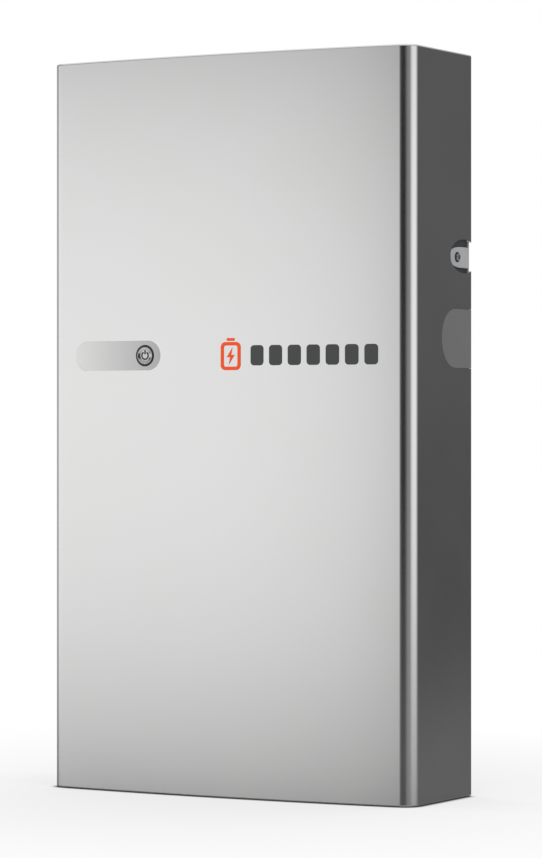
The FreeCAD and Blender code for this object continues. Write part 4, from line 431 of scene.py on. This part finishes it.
def plan(inset, side_steps=10, corner_steps=18, crown_steps=64):
    """Points of the cover's plan, from the rear of the left side round the front to the rear right."""
    along, tilt = corner_start(inset)
    corner = CORNER - inset
    crown = CROWN - inset
    points = []
    for i in range(side_steps):
        points.append((-(HALF - inset), REAR + (along - REAR) * i / side_steps))
    for i in range(corner_steps + 1):
        turn = math.pi / 2 - (math.pi / 2 - tilt) * i / corner_steps
        points.append((-CORNER_X - corner * math.sin(turn), along - corner * math.cos(turn)))
    mirrored = [(-x, y) for x, y in reversed(points)]
    for i in range(1, crown_steps):
        turn = -tilt + 2 * tilt * i / crown_steps
        points.append((crown * math.sin(turn), CROWN_Y - crown * math.cos(turn)))
    return points + mirrored


def cover_rings(round_steps=6, levels=24):
    """(inset, height) pairs that run round the section of the folded sheet."""
    rings = [(CAP_FLANGE, SKIN), (CAP_FLANGE, 0)]
    turns = [math.pi / 2 * i / round_steps for i in range(round_steps + 1)]
    for turn in turns:
        rings.append((EDGE_ROUND * (1 - math.sin(turn)), EDGE_ROUND * (1 - math.cos(turn))))
    for i in range(1, levels):
        rings.append((0, EDGE_ROUND + (TOP - 2 * EDGE_ROUND) * i / levels))
    for turn in reversed(turns):
        rings.append((EDGE_ROUND * (1 - math.sin(turn)), TOP - EDGE_ROUND * (1 - math.cos(turn))))
    rings += [(CAP_FLANGE, TOP), (CAP_FLANGE, TOP - SKIN), (SKIN, TOP - SKIN)]
    for i in range(1, levels):
        rings.append((SKIN, TOP - SKIN - (TOP - 2 * SKIN) * i / levels))
    rings.append((SKIN, SKIN))
    return rings


def folded_sheet():
    """The cover as one bent sheet, before anything is cut out of it."""
    bm = bmesh.new()
    rings = [[bm.verts.new((x, y, level)) for x, y in plan(inset)] for inset, level in cover_rings()]
    for first, second in zip(rings, rings[1:] + rings[:1]):
        for k in range(len(first) - 1):
            bm.faces.new((first[k], first[k + 1], second[k + 1], second[k]))
    for end in (0, -1):
        rear_edge = bm.faces.new([ring[end] for ring in rings])
        bmesh.ops.triangulate(bm, faces=[rear_edge], quad_method="BEAUTY", ngon_method="EAR_CLIP")
    return mesh_from("sheet", bm)


def surface_y(x):
    """Front of the bowed sheet at x."""
    return CROWN_Y - math.sqrt(CROWN ** 2 - x ** 2)


def floor_place(u, v, w):
    """Point at u along the recess's leaning floor, at height v and w in front of it."""
    tip = surface_y(RECESS_LEFT)
    return Vector((RECESS_LEFT + u * math.cos(RECESS_TILT) - w * math.sin(RECESS_TILT),
                   tip - u * math.sin(RECESS_TILT) - w * math.cos(RECESS_TILT), v))


def side_place(u, v, w):
    """Point of an outline drawn on the cover's side, w across the unit."""
    return Vector((w, u, v))


def front_place(u, v, w):
    """Point of an outline drawn on the front, at depth w."""
    return Vector((u, w, v))


def plan_place(u, v, w):
    """Point of an outline drawn in plan, at height w."""
    return Vector((u, v, w))


def middle_x(node):
    low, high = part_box(node)
    return (low.x + high.x) / 2


def cover_mesh():
    """The folded sheet with its recess, button hole, side notches and plug slots."""
    half = RECESS_HEIGHT / 2
    grown = pill(half, RECESS_LENGTH - half, RECESS_LEVEL, half + SKIN)
    backing = prism("backing", grown, floor_place, -SKIN, BACKING_REACH)
    sheet = boolean(folded_sheet(), boolean(backing, inside_block(), "INTERSECT"), "UNION")
    recess = pill(half, RECESS_LENGTH - half, RECESS_LEVEL, half, 32)
    radius = COLLAR_RADIUS + COLLAR_GAP
    hole = oval(middle_x("button_collar"), RECESS_LEVEL, radius, radius, 64, 0)
    across = (-HALF - CLEARANCE, HALF + CLEARANCE)
    cuts = [
        prism("recess", recess, floor_place, 0, CUT_REACH),
        prism("hole", hole, front_place, FRONT - CLEARANCE, FRONT + HOLE_DEPTH),
        prism("notches", oval(NOTCH_MIDDLE, NOTCH_LEVEL, NOTCH_REACH, NOTCH_RISE), side_place, *across),
        prism("plug_slots", pill(PLUG_START, PLUG_END, PLUG_LEVEL, PLUG_RADIUS, 40), side_place, *across),
    ]
    for cut in cuts:
        sheet = boolean(sheet, cut, "DIFFERENCE")
    return sheet


def inside_block():
    """Everything near the recess that lies behind the middle of the front sheet's thickness."""
    front = [point for point in plan(SKIN / 2) if point[1] < 0]
    outline = front + [(front[-1][0], 0.0), (front[0][0], 0.0)]
    return prism("inside", outline, plan_place, RECESS_LEVEL - RECESS_HEIGHT, RECESS_LEVEL + RECESS_HEIGHT)


def wrap_normal(point):
    """(depth below the cover's rounded outer surface, outward normal) at a point."""
    along, tilt = corner_start(0)
    x = abs(point.x)
    if point.y >= along:
        flat, inset = Vector((1, 0, 0)), HALF - x
    elif x > CORNER_X and math.atan2(x - CORNER_X, along - point.y) > tilt:
        offset = Vector((x - CORNER_X, point.y - along, 0))
        flat, inset = offset.normalized(), CORNER - offset.length
    else:
        offset = Vector((x, point.y - CROWN_Y, 0))
        flat, inset = offset.normalized(), CROWN - offset.length
    if point.x < 0:
        flat.x = -flat.x
    depth = min(point.z, TOP - point.z)
    if depth < EDGE_ROUND and inset < EDGE_ROUND:
        down = -1 if point.z < TOP / 2 else 1
        lean = flat * (EDGE_ROUND - inset) + Vector((0, 0, down * (EDGE_ROUND - depth)))
        return EDGE_ROUND - lean.length, lean.normalized()
    return min(inset, depth) if inset > EDGE_ROUND else inset, flat


def true_normals(mesh):
    """Give the outer skin its exact normals, so that reflections run evenly across it."""
    smooth_by_angle(mesh, 28)
    on_skin = 0.02 * MM
    facing = 0.7
    custom = [Vector((0, 0, 0))] * len(mesh.loops)
    for face in mesh.polygons:
        found = [wrap_normal(mesh.vertices[i].co) for i in face.vertices]
        if all(abs(depth) < on_skin for depth, _ in found) and face.normal.dot(found[0][1]) > facing:
            for loop, (_, normal) in zip(face.loop_indices, found):
                custom[loop] = normal
    mesh.normals_split_custom_set(custom)


def on_recess_floor(face):
    """Whether a face is part of the recess's leaning floor."""
    out = Vector((-math.sin(RECESS_TILT), -math.cos(RECESS_TILT), 0))
    middle = face.center
    level = abs(middle.z - RECESS_LEVEL) < RECESS_HEIGHT / 2
    across = RECESS_LEFT - MM < middle.x < RECESS_LEFT + RECESS_LENGTH
    return face.normal.dot(out) > 0.9999 and level and across and middle.y > surface_y(middle.x) - 0.001 * MM


def make_cover():
    """Folded metal cover; its recess floor has a material of its own, with painted shade that darkens it
    towards the button.
    """
    mesh = cover_mesh()
    true_normals(mesh)
    new_object("front_cover_skin", mesh, "cover", "front_cover")
    # second material: the recess floor with painted shade, darker towards the button
    mesh.materials.append(satin_cover("recess_metal_painted_shade", (RECESS_LEFT, RECESS_LEFT + RECESS_LENGTH)))
    for face in mesh.polygons:
        face.material_index = int(on_recess_floor(face))


# ---------------------------------------------------------------- button

def arc(centre_r, centre_y, radius, start, end, steps=8):
    """Points of an arc in a lathe profile; 0 degrees is outward and 90 towards the front."""
    points = []
    for i in range(steps + 1):
        turn = math.radians(start + (end - start) * i / steps)
        points.append((centre_r + radius * math.cos(turn), centre_y - radius * math.sin(turn)))
    return points


CAP_LOW, CAP_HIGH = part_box("power_button")
CAP_RADIUS = (CAP_HIGH.x - CAP_LOW.x) / 2
BUTTON_CENTRE = ((CAP_LOW.x + CAP_HIGH.x) / 2, 0, RECESS_LEVEL)


def make_cap():
    """Metal cap with a flat-bottomed dish and a rounded rim, on its stem."""
    rim = 0.45 * MM
    face, back = CAP_LOW.y, CAP_LOW.y + CAP_THICKNESS
    floor = face + DISH_DEPTH
    run = CAP_RADIUS - 2 * rim - DISH_FLAT
    slope = math.atan2(DISH_DEPTH, run)
    bend = math.radians(4)    # half the angle that the dish's wall turns through on its way up
    curve = math.hypot(run, DISH_DEPTH) / (2 * math.sin(bend))
    start = slope - bend
    wall = arc(DISH_FLAT - curve * math.sin(start), floor - curve * math.cos(start), curve,
               -90 + math.degrees(start), -90 + math.degrees(slope + bend), 6)
    profile = [(0, floor), *wall, *arc(CAP_RADIUS - rim, face + rim, rim, 110, 0, 16), (CAP_RADIUS, back),
               (STEM_RADIUS, back), (STEM_RADIUS, CAP_HIGH.y), (0, CAP_HIGH.y)]
    mesh = lathe("button_cap", profile, BUTTON_CENTRE, closed=False, sharp=10)
    new_object("button_cap", mesh, "button", "power_button")


def make_collar():
    """Dark collar with a groove for the light ring in its face and the stem's guide behind."""
    low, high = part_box("button_collar")
    bore, guide = CAP_RADIUS + SLIDE_GAP, STEM_RADIUS + SLIDE_GAP
    face, base = low.y, high.y
    flange = (high.x - low.x) / 2
    inner_round, outer_round, flange_round = 0.25 * MM, 0.5 * MM, 0.6 * MM
    groove_in, groove_out = COLLAR_RADIUS - 1.7 * MM, COLLAR_RADIUS - 0.8 * MM
    groove_floor = face + 1.0 * MM
    flange_front = base - 4 * MM
    web_front = base - 22 * MM
    web_back = web_front + 4 * MM
    profile = [*arc(bore + inner_round, face + inner_round, inner_round, 180, 90, 4),
               (groove_in, face), (groove_in, groove_floor), (groove_out, groove_floor), (groove_out, face),
               *arc(COLLAR_RADIUS - outer_round, face + outer_round, outer_round, 90, 0, 5),
               (COLLAR_RADIUS, flange_front),
               *arc(flange - flange_round, flange_front + flange_round, flange_round, 90, 0, 4),
               (flange, base), (guide + 2 * MM, base), (guide + 2 * MM, web_back), (guide, web_back),
               (guide, web_front), (bore, web_front)]
    mesh = lathe("collar_tower", profile, BUTTON_CENTRE)
    new_object("collar_tower", mesh, "chassis", "button_collar")


def make_light_ring():
    """Smoked ring in the collar's groove, chamfered in front."""
    low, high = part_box("status_light_ring")
    inner, outer = COLLAR_RADIUS - 1.68 * MM, COLLAR_RADIUS - 0.82 * MM
    middle = (inner + outer) / 2
    chamfer = 0.2 * MM
    profile = [(inner, high.y), (inner, low.y + chamfer), (middle - chamfer, low.y),
               (middle + chamfer, low.y), (outer, low.y + chamfer), (outer, high.y)]
    mesh = lathe("light_pipe", profile, BUTTON_CENTRE)
    new_object("light_pipe", mesh, "chassis", "status_light_ring")


def make_symbol():
    """Round-ended power mark that lies on the cap's flat centre."""
    low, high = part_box("power_symbol")
    across, level = (low.x + high.x) / 2, (low.z + high.z) / 2 - 0.6 * MM
    half = 1.05 * MM    # half the stroke
    radius = 4.9 * MM
    gap = 38            # degrees from the top to each end of the ring
    steps = 40
    bar_foot, bar_head = 2.4 * MM, 6.3 * MM
    turns = [math.radians(90 + gap + (360 - 2 * gap) * i / steps) for i in range(steps + 1)]

    def around(reach, angles):
        return [(across + reach * math.cos(turn), level + reach * math.sin(turn)) for turn in angles]

    def rounded_end(turn, first):
        """Points of a half circle over the stroke's end at turn, from the angle first."""
        centre = around(radius, [turn])[0]
        leans = [first + math.pi * i / 8 for i in range(1, 8)]
        return [(centre[0] + half * math.cos(lean), centre[1] + half * math.sin(lean)) for lean in leans]

    ring = around(radius + half, turns) + rounded_end(turns[-1], turns[-1])
    ring += around(radius - half, reversed(turns)) + rounded_end(turns[0], turns[0] + math.pi)
    bar = [(across + v, u) for u, v in pill(level + bar_foot, level + bar_head, 0, half, 10)]
    mesh = boolean(*(prism("mark", shape, front_place, low.y, high.y) for shape in (ring, bar)), "UNION")
    smooth_by_angle(mesh, 30)
    new_object("power_mark", mesh, "button", "power_symbol")


def make_ear_screws():
    """Pan head screws on a washer, one in each ear of the bracket; the washer is black as painted shade,
    standing in for the shadow of a countersunk hole round the head.
    """
    low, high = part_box("ear_screws")
    centre = (0, (low.y + high.y) / 2, (low.z + high.z) / 2)
    washer_radius = (high.y - low.y) / 2
    washer_face = EAR_FACE + 0.8 * MM
    shank, head, socket = 3 * MM, 4.5 * MM, 2.0 * MM
    tip = EAR_FACE - 14 * MM
    crest = EAR_FACE + 3.2 * MM
    profile = [(0, tip), (shank - 0.4 * MM, tip), (shank, tip + 0.6 * MM), (shank, EAR_FACE),
               (washer_radius, EAR_FACE), (washer_radius, EAR_FACE + 0.5 * MM),
               (washer_radius - 0.3 * MM, washer_face), (head, washer_face), (head, crest - 0.9 * MM),
               (head - 0.3 * MM, crest - 0.3 * MM), (head - 0.9 * MM, crest), (socket, crest),
               (socket, crest - 1.6 * MM), (0, crest - 1.8 * MM)]
    bm = bmesh.new()
    for side in (-1, 1):
        placed = [(radius, side * along) for radius, along in profile]
        bm.from_mesh(lathe("ear_screw", placed, centre, "X", 48, closed=False))
    mesh = mesh_from("ear_screw_pair", bm)
    smooth_by_angle(mesh, 32)
    new_object("ear_screw_pair", mesh, "chassis", "ear_screws")
    # painted shade: the washer's face round the head takes the black rubber finish
    mesh.materials.append(FINISHES["gasket_rubber"])
    for face in mesh.polygons:
        middle = face.center
        out = math.hypot(middle.y - centre[1], middle.z - centre[2])
        face.material_index = int(abs(middle.x) > EAR_FACE - 0.1 * MM and out > head + 0.05 * MM)


def make_spring():
    """Return coil behind the button."""
    low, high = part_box("button_spring")
    middle = (low + high) / 2
    wire, coil = 0.45 * MM, 5.2 * MM
    turns = 3.5
    steps, sides = int(turns * 28), 8
    bm = bmesh.new()
    rings = []
    for i in range(steps + 1):
        turn = 2 * math.pi * turns * i / steps
        along = low.y + wire + (high.y - low.y - 2 * wire) * i / steps
        out = Vector((math.cos(turn), 0, math.sin(turn)))
        here = Vector((middle.x, along, RECESS_LEVEL)) + out * coil
        rings.append([bm.verts.new(here + out * wire * math.cos(a) + Vector((0, wire * math.sin(a), 0)))
                      for a in (2 * math.pi * k / sides for k in range(sides))])
    for first, second in zip(rings, rings[1:]):
        for k in range(sides):
            j = (k + 1) % sides
            bm.faces.new((first[k], first[j], second[j], second[k]))
    bm.faces.new(rings[0])
    bm.faces.new(rings[-1][::-1])
    mesh = mesh_from("return_coil", bm)
    smooth_by_angle(mesh, 60)
    spring = new_object("return_coil", mesh, "chassis", "button_spring")
    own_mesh(spring)


# ---------------------------------------------------------------- CAD nodes

def smoother():
    """Geometry nodes that weld a CAD mesh and keep only real edges sharp."""
    tree = bpy.data.node_groups.new("smooth_cad", "GeometryNodeTree")
    tree.interface.new_socket("Geometry", in_out="INPUT", socket_type="NodeSocketGeometry")
    tree.interface.new_socket("Geometry", in_out="OUTPUT", socket_type="NodeSocketGeometry")
    start = tree.nodes.new("NodeGroupInput")
    end = tree.nodes.new("NodeGroupOutput")
    weld = tree.nodes.new("GeometryNodeMergeByDistance")
    weld.inputs["Distance"].default_value = 0.002 * MM
    angle = tree.nodes.new("GeometryNodeInputMeshEdgeAngle")
    compare = tree.nodes.new("FunctionNodeCompare")
    compare.operation = "LESS_EQUAL"
    compare.inputs[1].default_value = math.radians(30)
    faces = tree.nodes.new("GeometryNodeSetShadeSmooth")
    faces.domain = "FACE"
    edges = tree.nodes.new("GeometryNodeSetShadeSmooth")
    edges.domain = "EDGE"
    link = tree.links.new
    link(start.outputs[0], weld.inputs["Geometry"])
    link(weld.outputs[0], faces.inputs["Geometry"])
    link(faces.outputs[0], edges.inputs["Geometry"])
    link(angle.outputs["Unsigned Angle"], compare.inputs[0])
    link(compare.outputs[0], edges.inputs["Shade Smooth"])
    link(edges.outputs[0], end.inputs[0])
    return tree


def finish_cad_nodes():
    """Give every CAD node still on show its slot's finish and smooth shading."""
    tree = smoother()
    for name, thing in NODES.items():
        if thing.hide_render:
            continue
        thing.data.materials.clear()
        thing.data.materials.append(FINISHES[SLOT_OF[name]])
        modifier = thing.modifiers.new("smooth", "NODES")
        modifier.node_group = tree


# ---------------------------------------------------------------- stage

def make_floor():
    """A pale floor, bright for the camera, with painted shadow from ambient occlusion that darkens it softly
    under and around the unit.
    """
    reach = 12.0
    drop = 0.2 * MM    # below the unit's base, so that the two don't share a plane
    bm = bmesh.new()
    bm.faces.new([bm.verts.new((x, y, -drop)) for x, y in
                  ((-reach, -reach), (reach, -reach), (reach, reach), (-reach, reach))])
    mesh = mesh_from("floor", bm)
    floor = bpy.data.objects.new("floor", mesh)
    bpy.context.scene.collection.objects.link(floor)
    material, graph = new_material("pale_floor")
    # painted shadow: a wide soft shadow and a narrow contact shadow, from ambient occlusion, dim the floor's
    # emission
    wide = graph.add("AmbientOcclusion", {"Distance": 1.0}, samples=12).outputs["AO"]
    near = graph.add("AmbientOcclusion", {"Distance": 11 * MM}, samples=8).outputs["AO"]
    painted_contact_shadow = graph.span(near, 0.5, 0.95, 0.06, 1.0)
    painted_wide_shadow = graph.math("SUBTRACT", 1.0, graph.math("POWER", wide, 4.0))
    soft = graph.math("SUBTRACT", 1.0, graph.math("MULTIPLY", painted_wide_shadow, 0.18))
    cloud = graph.noise(graph.add("TexCoord").outputs["Object"], 3.0, 3.0)
    uneven = graph.span(cloud, 0, 1, 0.997, 1.003)
    light = graph.math("MULTIPLY", graph.math("MULTIPLY", soft, painted_contact_shadow), uneven)
    pale = graph.add("Emission", {"Color": (1, 1, 1, 1), "Strength": light})
    # the same painted shadow tints what reflections and lamps see through the floor
    veil = graph.add("CombineColor", {i: light for i in range(3)}).outputs[0]
    clear = graph.add("BsdfTransparent", {"Color": veil})
    seen = graph.add("LightPath").outputs["Is Camera Ray"]
    both = graph.add("MixShader", {0: seen, 1: clear.outputs[0], 2: pale.outputs[0]})
    graph.add("OutputMaterial", {"Surface": both.outputs[0]})
    mesh.materials.append(material)


# Studio softboxes that reflections see.  Azimuth 0 is straight out of the unit's front (-Y) and 90 is
# towards +X.  In degrees: middle, half width, side softness, bottom, top, end softness; then the level.
SOFTBOXES = {
    "left_wall": (-51, 31.5, 14, -5.5, 7.1, 2.4, 0.51),
    "left_wash": (-100, 68, 40, -5.5, 7.1, 2.4, 0.36),
    "right_bank": (97, 12, 25, -4.2, 9.0, 3.0, 0.66),
    "right_bounce": (84, 32, 28, -8.0, 12.0, 3.0, 0.2),
    "front_floor": (0, 60, 30, -25, -4.8, 3.0, 0.07),
    "rear_glow": (184, 50, 16, -2.5, 25, 5.0, 0.072),
    "rear_floor": (184, 50, 16, -25, -4.9, 2.2, 0.145),
    "room": (0, 180, 1, -90, 90, 1.0, 0.012),
    "upper_room": (0, 180, 1, 17, 90, 5.0, 0.42),
    "room_above": (0, 180, 1, 42, 90, 14.0, 0.35),
    "pale_floor": (0, 180, 1, -90, -13, 4.5, 0.5),
    "near_floor": (0, 180, 1, -90, -38, 12.0, 0.5),
}


def window(graph, value, low, high, soft):
    """1 between low and high, easing to 0 over the softness on both sides."""
    rising = graph.soft_span(value, low - soft, low + soft)
    falling = graph.soft_span(value, high + soft, high - soft)
    return graph.math("MULTIPLY", rising, falling)


def make_room():
    """Soft studio: softboxes with dark gaps, seen by reflections, and an even glow for the rest."""
    world = bpy.data.worlds.new("studio")
    bpy.context.scene.world = world
    world.use_nodes = True
    world.cycles.sampling_method = "NONE"
    graph = Graph(world.node_tree)
    axes = graph.add("SeparateXYZ", {0: graph.add("TexCoord").outputs["Generated"]})
    x, y, z = (axes.outputs[i] for i in range(3))
    azimuth = graph.math("DEGREES", graph.math("ARCTAN2", x, graph.math("MULTIPLY", y, -1.0)))
    rise = graph.math("DEGREES", graph.math("ARCSINE", z))
    seen = 0.0
    for middle, half, soft, bottom, top, end_soft, level in SOFTBOXES.values():
        offset = graph.math("SUBTRACT", azimuth, middle)
        wrapped = graph.add("Math", {0: offset, 1: 180.0, 2: -180.0}, operation="WRAP").outputs[0]
        across = graph.soft_span(graph.math("ABSOLUTE", wrapped), half, half + soft, level, 0.0)
        up = window(graph, rise, bottom, top, end_soft)
        seen = graph.math("ADD", seen, graph.math("MULTIPLY", across, up))
    glow = graph.span(z, -1.0, 1.0, 0.35, 0.95)
    path = graph.add("LightPath")
    light = graph.blend(path.outputs["Is Glossy Ray"], glow, seen)
    level = graph.blend(path.outputs["Is Camera Ray"], light, 1.0)
    back = graph.add("Background", {"Color": (1, 1, 1, 1), "Strength": level})
    graph.add("OutputWorld", {"Surface": back.outputs[0]})


def make_camera():
    """Level camera to the unit's front right, with a long lens."""
    data = bpy.data.cameras.new("camera")
    camera = bpy.data.objects.new("camera", data)
    bpy.context.scene.collection.objects.link(camera)
    turn = math.radians(29.73)
    distance = 4.827
    aim = Vector((0, -0.0029, 0.490))
    camera.location = aim + Vector((math.sin(turn), -math.cos(turn), 0)) * distance
    camera.rotation_euler = (math.pi / 2, 0, turn)
    data.sensor_width = 36
    data.lens = 151.38
    data.shift_x = 0.01772
    data.shift_y = -0.00396
    data.clip_end = 60
    bpy.context.scene.camera = camera


def make_lamps():
    """Large soft lamps that give the matt parts their shape."""
    aim = Vector((0, 0, 0.5))
    lamps = {"key": ((-2.6, -3.2, 2.6), 2.4, 60), "fill": ((3.2, -1.6, 1.4), 2.0, 26),
             "back": ((0.6, 3.4, 2.4), 2.4, 60)}
    for name, (spot, size, power) in lamps.items():
        data = bpy.data.lights.new(name, "AREA")
        data.size = size
        data.energy = power
        lamp = bpy.data.objects.new(name, data)
        bpy.context.scene.collection.objects.link(lamp)
        lamp.location = spot
        lamp.rotation_euler = (aim - Vector(spot)).to_track_quat("-Z", "Y").to_euler()
        lamp.visible_glossy = False
        lamp.visible_camera = False


make_cover()
make_cap()
make_collar()
make_light_ring()
make_symbol()
make_ear_screws()
make_spring()
finish_cad_nodes()
make_floor()
make_room()
make_lamps()
make_camera()
bpy.context.scene.view_settings.view_transform = "Standard"
